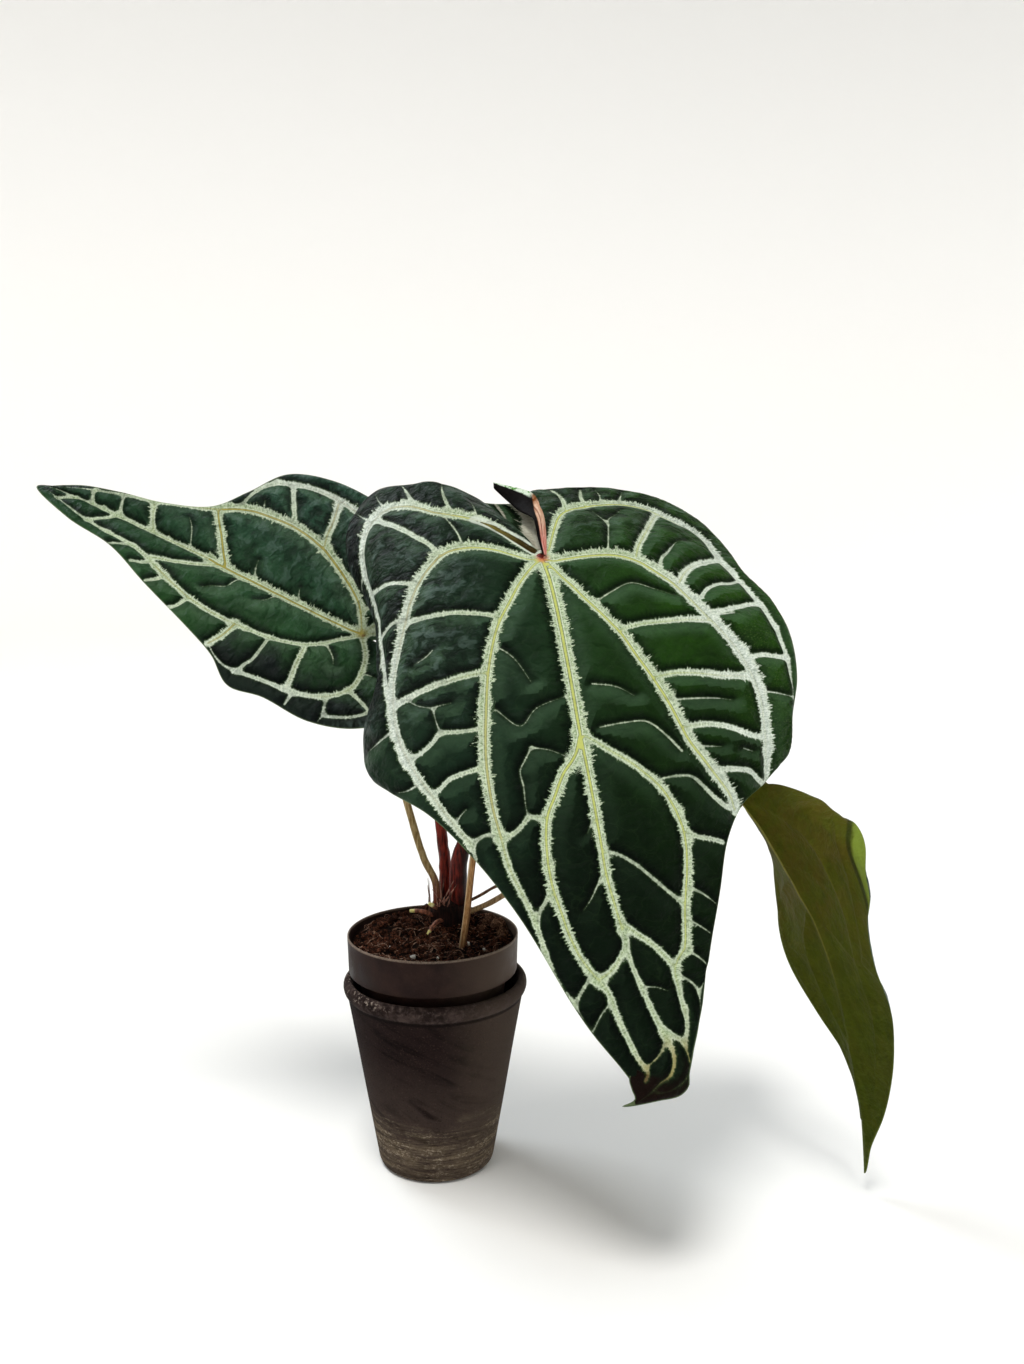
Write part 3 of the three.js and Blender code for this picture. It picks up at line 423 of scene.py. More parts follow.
def lattice_noise(x, y, size, seed):
    """Smooth random field between -1 and 1, with features of about the given size."""
    table = np.random.default_rng(seed).uniform(-1, 1, (LATTICE, LATTICE))
    x = np.asarray(x, float) / size
    y = np.asarray(y, float) / size
    column = np.floor(x).astype(int)
    row = np.floor(y).astype(int)
    tx = smoothstep(0, 1, x - column)
    ty = smoothstep(0, 1, y - row)

    def corner(dx, dy):
        return table[(row + dy) % LATTICE, (column + dx) % LATTICE]

    upper = corner(0, 0) * (1 - tx) + corner(1, 0) * tx
    lower = corner(0, 1) * (1 - tx) + corner(1, 1) * tx
    return upper * (1 - ty) + lower * ty


# ------------------------------------------------------------------------------------ bent blades

MIDRIB_STEP = 2.0        # between the stations at which the midrib is worked out


def blade_axes(leaf, v):
    """Directions of the blade at v: along the midrib, across it (towards +u) and out of its top."""
    heading, pitch, roll, sway = (np.radians(along(leaf[name], v))
                                  for name in ("heading", "pitch", "roll", "sway"))
    level = np.cos(pitch)
    ahead = np.stack([level * np.sin(heading), -level * np.cos(heading), -np.sin(pitch)], -1)
    side = np.stack([np.cos(heading), np.sin(heading), np.zeros_like(heading)], -1)
    up = np.cross(ahead, side)
    cosine, sine = np.cos(roll)[..., None], np.sin(roll)[..., None]
    across = side * cosine + up * sine
    top = up * cosine - side * sine
    cosine, sine = np.cos(sway)[..., None], np.sin(sway)[..., None]
    return ahead * cosine + across * sine, across * cosine - ahead * sine, top


def midrib_at(leaf, v):
    """The midrib's points, with v = 0 at the leaf's base point."""
    start, end = leaf["reach"]
    stations = np.arange(start, end + 1, MIDRIB_STEP)
    ahead = blade_axes(leaf, stations)[0]
    steps = (ahead[1:] + ahead[:-1]) * MIDRIB_STEP / 2
    points = np.vstack([np.zeros(3), np.cumsum(steps, axis=0)])
    points += np.array(leaf["base"]) - points[np.searchsorted(stations, 0)]
    return np.stack([np.interp(v, stations, axis) for axis in points.T], -1)


def arc_end(angle, bend, length):
    """End of an arc that starts at angle and turns by bend for each millimetre of length."""
    bend = np.where(np.abs(bend) < 1e-5, 1e-5, bend)
    end = angle + bend * length
    return (np.sin(end) - np.sin(angle)) / bend, (np.cos(end) - np.cos(angle)) / bend


def half_blade(half, v, distance):
    """Reach across, rise and fall angle of a bent half blade at a distance from the midrib."""
    fold = np.radians(along(half["fold"], v))
    curl = np.radians(along(half["curl"], v)) / 100
    hem_curl = curl + np.radians(along(half["hem"], v)) / 100
    inner = along(half["inner"], v)
    inner_part = np.minimum(distance, inner)
    hem_part = np.maximum(distance - inner, 0)
    x1, z1 = arc_end(fold, curl, inner_part)
    x2, z2 = arc_end(fold + curl * inner, hem_curl, hem_part)
    return x1 + x2, z1 + z2, fold + curl * inner_part + hem_curl * hem_part


def roll_margin(roll, u, v):
    """Where flat points go when the margin is rolled, and their lift off the blade."""
    if roll is None:
        return u, v, np.zeros_like(u)
    start, end = np.array(roll["from"], float), np.array(roll["to"], float)
    line = (end - start) / np.linalg.norm(end - start)
    outward = (-line[1], line[0])
    beyond = (u - start[0]) * outward[0] + (v - start[1]) * outward[1]
    applies = (u < roll["left_of"]) & (v < roll["before"])
    beyond = np.where(applies, np.maximum(beyond, 0), 0)
    angle = np.minimum(beyond / roll["radius"], math.radians(roll["turn"]))
    straight = beyond - roll["radius"] * angle
    reach = roll["radius"] * np.sin(angle) + straight * np.cos(angle)
    lift = roll["radius"] * (1 - np.cos(angle)) + straight * np.sin(angle)
    shift = reach - beyond
    return u + outward[0] * shift, v + outward[1] * shift, roll["upward"] * lift


LOBE_SPREAD = 70         # distance from the midrib over which a lobe takes up its rise
LOBE_EASE = 30           # distance behind the petiole over which the rise sets in


def blade_points(leaf, u, v):
    """The flat points (u, v) of a leaf in space, midway between its two sides."""
    u, v, lift = roll_margin(leaf["margin_roll"], np.asarray(u, float), np.asarray(v, float))
    _, across, top = blade_axes(leaf, v)
    right = u >= 0
    distance = np.abs(u)
    halves = zip(half_blade(leaf["right"], v, distance), half_blade(leaf["left"], v, distance))
    out, rise, fall = (np.where(right, a, b) for a, b in halves)
    towards = np.where(right, 1.0, -1.0)
    points = midrib_at(leaf, v)
    points = points + across * (towards * (out + lift * np.sin(fall)))[..., None]
    points = points + top * (rise + lift * np.cos(fall))[..., None]
    back = np.where(right, 0, np.maximum(-v, 0))
    spread = smoothstep(0, LOBE_SPREAD, distance)
    points[..., 2] += leaf["lobe_rise"] * spread * back * back / (LOBE_EASE + back)
    return points


def blade_normals(leaf, u, v):
    """Unit normals out of the top side of a leaf."""
    step = 0.6
    across = blade_points(leaf, u + step, v) - blade_points(leaf, u - step, v)
    ahead = blade_points(leaf, u, v + step) - blade_points(leaf, u, v - step)
    normal = np.cross(ahead, across)
    return normal / np.linalg.norm(normal, axis=-1, keepdims=True)


# ------------------------------------------------------------------------------------ meshes


def mesh_object(name, points, faces, materials, face_material=None):
    """A smooth-shaded mesh object from points in millimetres."""
    mesh = bpy.data.meshes.new(name)
    mesh.from_pydata((np.asarray(points) * MM).tolist(), [], faces)
    for material in materials:
        mesh.materials.append(material)
    if face_material is not None:
        mesh.polygons.foreach_set("material_index", np.asarray(face_material, np.int32))
    mesh.shade_smooth()
    mesh.update()
    piece = bpy.data.objects.new(name, mesh)
    bpy.context.scene.collection.objects.link(piece)
    return piece


def place(piece, slot, *nodes):
    """The piece belongs to the object and stands for these CAD nodes; slot is not used."""
    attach(piece, "root")
    if nodes:
        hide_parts(*nodes)
    return piece


def set_attribute(piece, name, values):
    attribute = piece.data.attributes.new(name, "FLOAT", "POINT")
    attribute.data.foreach_set("value", np.asarray(values, np.float32))


def set_vectors(piece, name, values):
    attribute = piece.data.attributes.new(name, "FLOAT_VECTOR", "POINT")
    attribute.data.foreach_set("vector", np.asarray(values, np.float32).ravel())


def joined(parts):
    """Several (points, faces) meshes as one, with the part number of each face."""
    points, faces, owner = [], [], []
    offset = 0
    for number, (part_points, part_faces) in enumerate(parts):
        points.append(np.asarray(part_points, float))
        faces += [tuple(index + offset for index in face) for face in part_faces]
        owner += [number] * len(part_faces)
        offset += len(part_points)
    return np.vstack(points), faces, owner


def grid_faces(rows, columns, wrap):
    """Quads of a grid of points; wrap joins the last column to the first."""
    faces = []
    for row in range(rows - 1):
        for column in range(columns if wrap else columns - 1):
            after = (column + 1) % columns
            here, above = row * columns, (row + 1) * columns
            faces.append((here + column, here + after, above + after, above + column))
    return faces


def lathe(profile, sides, centre=(0, 0)):
    """Solid of revolution from an open profile of (radius, z) whose ends lie on the axis."""
    angles = np.arange(sides) * 2 * math.pi / sides
    rings = [(radius, z) for radius, z in profile if radius > 1e-6]
    points = [(centre[0] + radius * math.cos(a), centre[1] + radius * math.sin(a), z)
              for radius, z in rings for a in angles]
    faces = grid_faces(len(rings), sides, True)
    first = len(points)
    points += [(centre[0], centre[1], profile[0][1]), (centre[0], centre[1], profile[-1][1])]
    last_ring = (len(rings) - 1) * sides
    for k in range(sides):
        after = (k + 1) % sides
        faces.append((first, after, k))
        faces.append((first + 1, last_ring + k, last_ring + after))
    return np.array(points), faces


def rounded(profile, radii, steps=4):
    """The profile with its inner corners cut to small curves of these radii."""
    profile = np.array(profile, float)
    result = [profile[0]]
    for before, corner, after, radius in zip(profile, profile[1:], profile[2:], radii):
        back = before - corner
        ahead = after - corner
        reach = min(radius, 0.45 * np.linalg.norm(back), 0.45 * np.linalg.norm(ahead))
        start = corner + back / np.linalg.norm(back) * reach
        end = corner + ahead / np.linalg.norm(ahead) * reach
        for t in np.linspace(0, 1, steps):
            result.append((1 - t) ** 2 * start + 2 * t * (1 - t) * corner + t * t * end)
    result.append(profile[-1])
    return np.array(result)


def tube(stations, sides, step, side=(1, -1, 0), lumps=0.0, seed=0):
    """Closed tube through stations of (x, y, z, half width, half depth), width towards side."""
    curve = smooth_curve(stations, False, 12)
    curve, run = resampled(curve, step)
    tangent = np.gradient(curve[:, :3], axis=0)
    tangent /= np.linalg.norm(tangent, axis=1, keepdims=True)
    depth = np.cross(tangent, np.array(side, float))
    depth /= np.linalg.norm(depth, axis=1, keepdims=True)
    width = np.cross(depth, tangent)
    angles = np.arange(sides) * 2 * math.pi / sides
    swell = 1 + lumps * lattice_noise(run[:, None] + 0 * angles, 7 * np.cos(angles) + 31, 5, seed)
    ring = (width[:, None] * (np.cos(angles) * swell * curve[:, 3:4])[..., None]
            + depth[:, None] * (np.sin(angles) * swell * curve[:, 4:5])[..., None])
    points = (curve[:, None, :3] + ring).reshape(-1, 3)
    points = np.vstack([points, curve[0, :3], curve[-1, :3]])
    rows = len(curve)
    faces = grid_faces(rows, sides, True)
    last = (rows - 1) * sides
    for k in range(sides):
        after = (k + 1) % sides
        faces.append((rows * sides, after, k))
        faces.append((rows * sides + 1, last + k, last + after))
    return points, faces


# ------------------------------------------------------------------------------------ leaf pieces

BATCH = 2500             # points measured at once against all segments
FAR_AWAY = 99.0          # distance that stands for no vein or groove near

# Where the sheets lie in the left half of a leaf's texture square; their backs take the right half.
BLADE_MAP = ((0.01, 0.01), (0.49, 0.86))
OVERLAP_MAP = ((0.02, 0.88), (0.2, 0.99))
MARGIN_MAP = ((0.25, 0.88), (0.45, 0.99))

# Depths at which the sheets and their backs cut through the noise, so that no two look alike.
BACK_DEPTH = 40
OVERLAP_DEPTH = 20
MARGIN_DEPTH = 90.0


def inside(points, outline):
    """Which points lie inside the closed outline."""
    x, y = points[:, 0][:, None], points[:, 1][:, None]
    x1, y1 = outline.T
    x2, y2 = np.roll(outline, -1, axis=0).T
    crosses = (y1 > y) != (y2 > y)
    slope = (x2 - x1) / np.where(y2 == y1, 1e-9, y2 - y1)
    return (crosses & (x < x1 + slope * (y - y1))).sum(axis=1) % 2 == 1


def nearest_segments(points, starts, ends):
    """For each point: distance to each segment's nearest place and how far along that lies."""
    direction = ends - starts
    length_squared = np.maximum((direction**2).sum(axis=1), 1e-12)
    offset = points[:, None] - starts[None]
    t = np.clip((offset * direction).sum(axis=2) / length_squared, 0, 1)
    return np.linalg.norm(offset - t[..., None] * direction, axis=2), t


def margin_distance(points, outline):
    """Distance of each point to the closed outline."""
    result = np.empty(len(points))
    ends = np.roll(outline, -1, axis=0)
    for first in range(0, len(points), BATCH):
        part = slice(first, first + BATCH)
        result[part] = nearest_segments(points[part], outline, ends)[0].min(axis=1)
    return result


FINE_VEIN = 3.2          # veins narrower than this press less deeply into the blade
FINE_VEIN_FADE = 1.8
FREE_END_WIDTH = 1.7     # veins that end narrower than this taper away in the blade
BAND_SHARE = 0.84        # the solid part of a vein's width, without its hairs
WEB_REACH = 1.3          # how far the pale band fills the corner where two veins meet
OUTER_SHIFT = 0.16       # share of its width by which a band lies away from the blade's middle
BLADE_MIDDLE = (0, 110)
VEIN_PATTERN_SHIFT = 57.0    # moves each vein's hairs to another part of their noise


def vein_line(path, step):
    """A vein's smooth centre line with points a step apart, and the run to each."""
    return resampled(smooth_curve(path, False, 8), step)


def vein_fields(points, veins, down):
    """Per point: distance past the pale band, to the centre line, run along the vein, its width,
    the distance that counts for relief, where fine veins act as if they were further away, and
    whether the nearest vein lies below the point (1) or above it (-1); down is a flat direction."""
    starts, ends, width_start, width_end, run_start, vein_start = [], [], [], [], [], []
    for number, (first_width, last_width, path) in enumerate(veins):
        line, run = vein_line(path, 3.0)
        width = np.linspace(first_width, last_width, len(line)) * BAND_SHARE
        if last_width < FREE_END_WIDTH:
            width *= 1 - 0.8 * smoothstep(0.55, 1, np.linspace(0, 1, len(line)))
        vein_start.append(sum(len(part) for part in starts))
        starts.append(line[:-1])
        ends.append(line[1:])
        width_start.append(width[:-1])
        width_end.append(width[1:])
        run_start.append(run[:-1] + VEIN_PATTERN_SHIFT * number)
    starts, ends = np.vstack(starts), np.vstack(ends)
    width_start, width_end = np.concatenate(width_start), np.concatenate(width_end)
    run_start = np.concatenate(run_start)
    lengths = np.linalg.norm(ends - starts, axis=1)
    result = np.empty((6, len(points)))
    for first in range(0, len(points), BATCH):
        part = slice(first, first + BATCH)
        distance, t = nearest_segments(points[part], starts, ends)
        width = width_start + (width_end - width_start) * t
        past_band = distance - width / 2
        relief = past_band + np.maximum(FINE_VEIN - width, 0) * FINE_VEIN_FADE
        best = past_band.argmin(axis=1)
        rows = np.arange(len(best))
        along_best = t[rows, best]
        nearest = starts[best] + (ends - starts)[best] * along_best[:, None]
        outward = nearest - BLADE_MIDDLE
        outward /= np.linalg.norm(outward, axis=1, keepdims=True) + 1
        offset = points[part] - nearest
        side = (offset * outward).sum(axis=1) / (np.linalg.norm(offset, axis=1) + 1)
        by_vein = np.minimum.reduceat(past_band, vein_start, axis=1)
        webbed = -WEB_REACH * np.log(np.exp(-by_vein / WEB_REACH).sum(axis=1))
        result[0, part] = webbed - OUTER_SHIFT * width[rows, best] * side
        result[1, part] = distance[rows, best]
        result[2, part] = run_start[best] + lengths[best] * along_best
        result[3, part] = width[rows, best]
        result[4, part] = relief.min(axis=1)
        result[5, part] = -(offset * down).sum(axis=1) / (np.linalg.norm(offset, axis=1) + 0.5)
    return result


def leaf_triangles(outline, veins, spacing):
    """Flat triangles inside the outline, with edges that follow the veins' centre lines."""
    low, high = outline.min(axis=0), outline.max(axis=0)
    rows = np.arange(low[1], high[1], spacing * math.sqrt(3) / 2)
    columns = np.arange(low[0], high[0], spacing)
    grid = np.array([(u + (spacing / 2 if k % 2 else 0), v)
                     for k, v in enumerate(rows) for u in columns])
    grid = grid[inside(grid, outline)]
    grid = grid[margin_distance(grid, outline) > 0.6 * spacing]
    points = [tuple(point) for point in outline]
    edges = []
    taken = set()
    for _, _, path in veins:
        line, _ = vein_line(path, 1.5)
        line = line[inside(line, outline)]
        if len(line) < 2:
            continue
        line = line[margin_distance(line, outline) > 0.8]
        first = len(points)
        points += [tuple(point) for point in line]
        edges += [(first + k, first + k + 1) for k in range(len(line) - 1)
                  if np.linalg.norm(line[k + 1] - line[k]) < 3]
        taken.update((round(u / spacing), round(v / spacing)) for u, v in line)
    keep = [(round(u / spacing), round(v / spacing)) not in taken for u, v in grid]
    points += [tuple(point) for point in grid[keep]]
    result = delaunay_2d_cdt([Vector(point) for point in points], edges,
                             [list(range(len(outline)))], 1, 1e-4, False)
    flat = np.array([tuple(point) for point in result[0]])
    faces = np.array(result[2])
    within = inside(flat[faces].mean(axis=1), outline)
    return flat, [tuple(face) for face in faces[within].tolist()]


def rim_edges(faces):
    """Edges that only one triangle uses, in that triangle's direction."""
    edges = {}
    for face in faces:
        for a, b in zip(face, face[1:] + face[:1]):
            edges[(a, b)] = True
    return [edge for edge in edges if (edge[1], edge[0]) not in edges]


def quilted_sheet(corners, veins, spacing, surface, map_box, down, depth=0, groove_line=None):
    """A thin closed sheet: quilted top with sunken veins, underside with raised ones.

    surface gives the points and normals of flat points, map_box the sheet's place in the leaf's
    texture square, down the flat direction that hangs lowest, and depth moves its pattern to a part
    of the noise that no other sheet uses.
    """
    outline, _ = resampled(smooth_curve(corners, True, 10), 1.6, closed=True)
    flat, faces = leaf_triangles(outline, veins, spacing)
    past_band, core, run, width, relief, lee = vein_fields(flat, veins, down)
    edge = margin_distance(flat, outline)
    u, v = flat.T
    swell = BULGE * (1 - np.exp(-np.maximum(relief, 0) / BULGE_REACH))
    for wave, size, seed in UNEVENNESS:
        swell += wave * lattice_noise(u, v, size, seed)
    strength = np.clip(width / FULL_VEIN, 0.12, 1)
    groove = strength * np.exp(-(core / (0.22 * width + 0.5)) ** 2)
    fade = smoothstep(0, 4, edge)
    height = (swell - 0.6) * fade
    thickness = LEAF_SHEET_THICKNESS * (0.4 + 0.6 * smoothstep(0, 3, edge))
    middle, normal = surface(u, v)
    top = middle + normal * (thickness / 2 + height - VEIN_GROOVE * groove * fade)[:, None]
    below = middle + normal * (height - thickness / 2 - VEIN_RIDGE * groove * fade)[:, None]
    flat_place = np.column_stack([u, v, np.full(len(u), depth)])
    groove_distance = np.full(len(u), FAR_AWAY)
    if groove_line is not None:
        line = np.array(groove_line, float)
        groove_distance = nearest_segments(flat, line[:-1], line[1:])[0].min(axis=1)
    fields = {"past_band": past_band, "core": core, "run": run, "vein_width": width, "edge": edge,
              "groove": groove_distance, "lee": lee}
    return closed_sheet(top, below, faces, normal, flat_place, fields, map_box, (0, 1))


def closed_sheet(top, below, faces, normal, flat_place, fields, map_box, slots):
    """Two sides and a rim, with the values that the leaf materials read at each point."""
    count = len(top)
    a, b, c = (top[[face[k] for face in faces]] for k in range(3))
    turns = (np.cross(b - a, c - a) * normal[[face[0] for face in faces]]).sum()
    upper = faces if turns > 0 else [face[::-1] for face in faces]
    lower = [tuple(index + count for index in face[::-1]) for face in upper]
    rim = [(a, a + count, b + count, b) for a, b in rim_edges(upper)]
    low, high = flat_place[:, :2].min(axis=0), flat_place[:, :2].max(axis=0)
    spot = (flat_place[:, :2] - low) / (high - low)
    spot = np.array(map_box[0]) + spot * (np.array(map_box[1]) - map_box[0])
    return {
        "points": np.vstack([top, below]),
        "faces": upper + lower + rim,
        "owner": [slots[0]] * len(upper) + [slots[1]] * len(lower) + [slots[0]] * len(rim),
        "flat": np.vstack([flat_place, flat_place + (0, 0, BACK_DEPTH)]),
        "fields": {label: np.concatenate([values, values]) for label, values in fields.items()},
        "map": np.vstack([spot, spot + (0.5, 0)]),
    }


def leaf_piece(name, node, sheets, materials):
    """One leaf out of its sheets, with a flat map of it for painting."""
    points, faces, _ = joined([(sheet["points"], sheet["faces"]) for sheet in sheets])
    owner = sum((sheet["owner"] for sheet in sheets), [])
    piece = mesh_object(name, points, faces, materials, owner)
    for label in sheets[0]["fields"]:
        set_attribute(piece, label, np.concatenate([sheet["fields"][label] for sheet in sheets]))
    set_vectors(piece, "flat", np.vstack([sheet["flat"] for sheet in sheets]))
    loops = np.empty(len(piece.data.loops), np.int32)
    piece.data.loops.foreach_get("vertex_index", loops)
    spots = np.vstack([sheet["map"] for sheet in sheets])[loops]
    layer = piece.data.uv_layers.new(name="OFBake")
    layer.data.foreach_set("uv", spots.astype(np.float32).ravel())
    return place(piece, "leaf", node)


def blade(leaf, veins, spacing, down, groove_line=None):
    """The sheet of a whole leaf."""
    return quilted_sheet(leaf["outline"], veins, spacing,
                         lambda u, v: (blade_points(leaf, u, v), blade_normals(leaf, u, v)),
                         BLADE_MAP, down, groove_line=groove_line)


# The basal lobes of the front leaf overlap: the left lobe's inner margin turns up and passes under
# the right lobe, whose own inner margin stands up and leans over to the left.

OVERLAP_LEFT = [(-2, -8), (-5, -28), (-12, -52), (-24, -72), (-38, -77)]
OVERLAP_RIGHT = [(5, -8), (8, -28), (9, -50), (8, -66), (8, -80)]
OVERLAP_DROP = [1.0, 2.0, 2.5, 3.0, 3.0]     # how far its right edge passes under the right lobe
OVERLAP_ROWS = [8, 28, 52, 72, 84]           # its own v at these pairs of places on the lobes
OVERLAP_SAG = 5.0
OVERLAP_VEINS = [
    (15, 27, [(4, 8), (8, 28), (14, 46), (23, 60), (32, 74), (36, 84)]),
    (2.2, 2, [(18, 84), (9, 71), (3, 61)]),
    (2.2, 2, [(8, 81), (2, 72)]),
]


def overlap_surface(u, v):
    """The web between the lobes: u in millimetres from its left edge, v back from the petiole."""
    left = blade_points(LEAF_FRONT, *np.array(OVERLAP_LEFT, float).T)
    right_places = np.array(OVERLAP_RIGHT, float).T
    right = blade_points(LEAF_FRONT, *right_places)
    right -= blade_normals(LEAF_FRONT, *right_places) * np.array(OVERLAP_DROP)[:, None]
    widths = np.linalg.norm(right - left, axis=1)

    def spot(u, v):
        share = u / along(list(zip(OVERLAP_ROWS, widths)), v)
        start = np.stack([along(list(zip(OVERLAP_ROWS, axis)), v) for axis in left.T], -1)
        end = np.stack([along(list(zip(OVERLAP_ROWS, axis)), v) for axis in right.T], -1)
        points = start + (end - start) * share[:, None]
        points[:, 2] -= OVERLAP_SAG * 4 * share * (1 - share) * smoothstep(0, 50, v)
        return points

    points = spot(u, v)
    ahead = spot(u, v - 0.5) - spot(u, v + 0.5)
    across = spot(u + 0.5, v) - spot(u - 0.5, v)
    normal = np.cross(ahead, across)
    return points, normal / np.linalg.norm(normal, axis=1, keepdims=True)


OVERLAP_OUTLINE = [(0, 9), (0, 30), (0, 52), (0, 70), (4, 79), (16, 83), (32, 83), (36, 76),
                   (27, 60), (20, 45), (13, 28), (6, 9)]


def lobe_overlap():
    """The sheet between the front leaf's lobes."""
    return quilted_sheet(OVERLAP_OUTLINE, OVERLAP_VEINS, 1.7, overlap_surface, OVERLAP_MAP,
                         (0, -1), OVERLAP_DEPTH)


# The standing margin's right edge, which grows from the lobe, and its free left edge.

MARGIN_ROOT = [(76.1, -55.2, 434.3), (76.3, -40.8, 443.4), (76, -26.4, 452.7), (75, -14.2, 460.4),
               (72.4, -3.2, 467), (68.5, 5.8, 473.1), (60.4, 12.3, 476.5), (50.9, 17.7, 478.6),
               (41.4, 22, 481)]
MARGIN_FREE = [(73.7, -56.6, 435), (71.3, -46.9, 442.9), (69.5, -36.5, 452.2), (68, -26.8, 456.9),
               (64.9, -16.4, 458.8), (59, -4.9, 461.7), (52.9, 4.9, 466.7), (46.8, 11.7, 472.1),
               (42, 18.4, 476.9)]
MARGIN_ROWS = 60
MARGIN_COLUMNS = 14
MARGIN_LENGTH = 84
MARGIN_THICKNESS = 0.6


def standing_margin():
    """The right lobe's inner margin, seen from its underside as it leans over the sinus."""
    spots = np.linspace(0, 1, MARGIN_ROWS)
    root, free = (np.stack([np.interp(spots, np.linspace(0, 1, len(line)), axis)
                            for axis in line.T], -1)
                  for line in (smooth_curve(MARGIN_ROOT, False, 10),
                               smooth_curve(MARGIN_FREE, False, 10)))
    share = np.linspace(0, 1, MARGIN_COLUMNS)[None, :]
    middle = root[:, None] + (free - root)[:, None] * share[..., None]
    swell = np.sin(share * math.pi) * smoothstep(0, 0.4, spots)[:, None]
    ripple = lattice_noise(spots[:, None] * 60, share * 9, 6, 15) * share
    middle[..., 1] -= 1.4 * swell + 0.5 * ripple
    middle[..., 2] += 0.8 * swell
    ahead = np.gradient(middle, axis=0)
    across = np.gradient(middle, axis=1)
    normal = np.cross(across, ahead)
    normal /= np.maximum(np.linalg.norm(normal, axis=2, keepdims=True), 1e-9)
    middle, normal = middle.reshape(-1, 3), normal.reshape(-1, 3)
    count = MARGIN_ROWS * MARGIN_COLUMNS
    rim = np.linalg.norm(free - root, axis=1)[:, None] * share
    far = np.full(count, FAR_AWAY)
    fields = {"past_band": far, "core": far, "run": np.zeros(count), "vein_width": np.ones(count),
              "edge": rim.ravel(), "groove": far, "lee": np.zeros(count)}
    half = normal * MARGIN_THICKNESS / 2
    flat_place = np.column_stack([np.tile(share.ravel() * 10, MARGIN_ROWS),
                                  np.repeat(spots * MARGIN_LENGTH, MARGIN_COLUMNS),
                                  np.full(count, MARGIN_DEPTH)])
    faces = grid_faces(MARGIN_ROWS, MARGIN_COLUMNS, False)
    return closed_sheet(middle + half, middle - half, faces, normal, flat_place, fields, MARGIN_MAP,
                        (2, 2))


# ------------------------------------------------------------------------------------ materials


def srgb(code):
    """A colour from its six hex digits, as Blender's linear values."""
    channels = [int(code[k:k + 2], 16) / 255 for k in (0, 2, 4)]
    linear = [c / 12.92 if c <= 0.04045 else ((c + 0.055) / 1.055) ** 2.4 for c in channels]
    return (*linear, 1.0)


class Signal:
    """An output of a material's nodes; arithmetic with it adds a math node."""

    def __init__(self, nodes, socket):
        self.nodes = nodes
        self.socket = socket

    def __add__(self, other):
        return self.nodes.math("ADD", self, other)

    def __radd__(self, other):
        return self.nodes.math("ADD", other, self)

    def __sub__(self, other):
        return self.nodes.math("SUBTRACT", self, other)

    def __rsub__(self, other):
        return self.nodes.math("SUBTRACT", other, self)

    def __mul__(self, other):
        return self.nodes.math("MULTIPLY", self, other)

    def __truediv__(self, other):
        return self.nodes.math("DIVIDE", self, other)

    def __abs__(self):
        return self.nodes.math("ABSOLUTE", self)


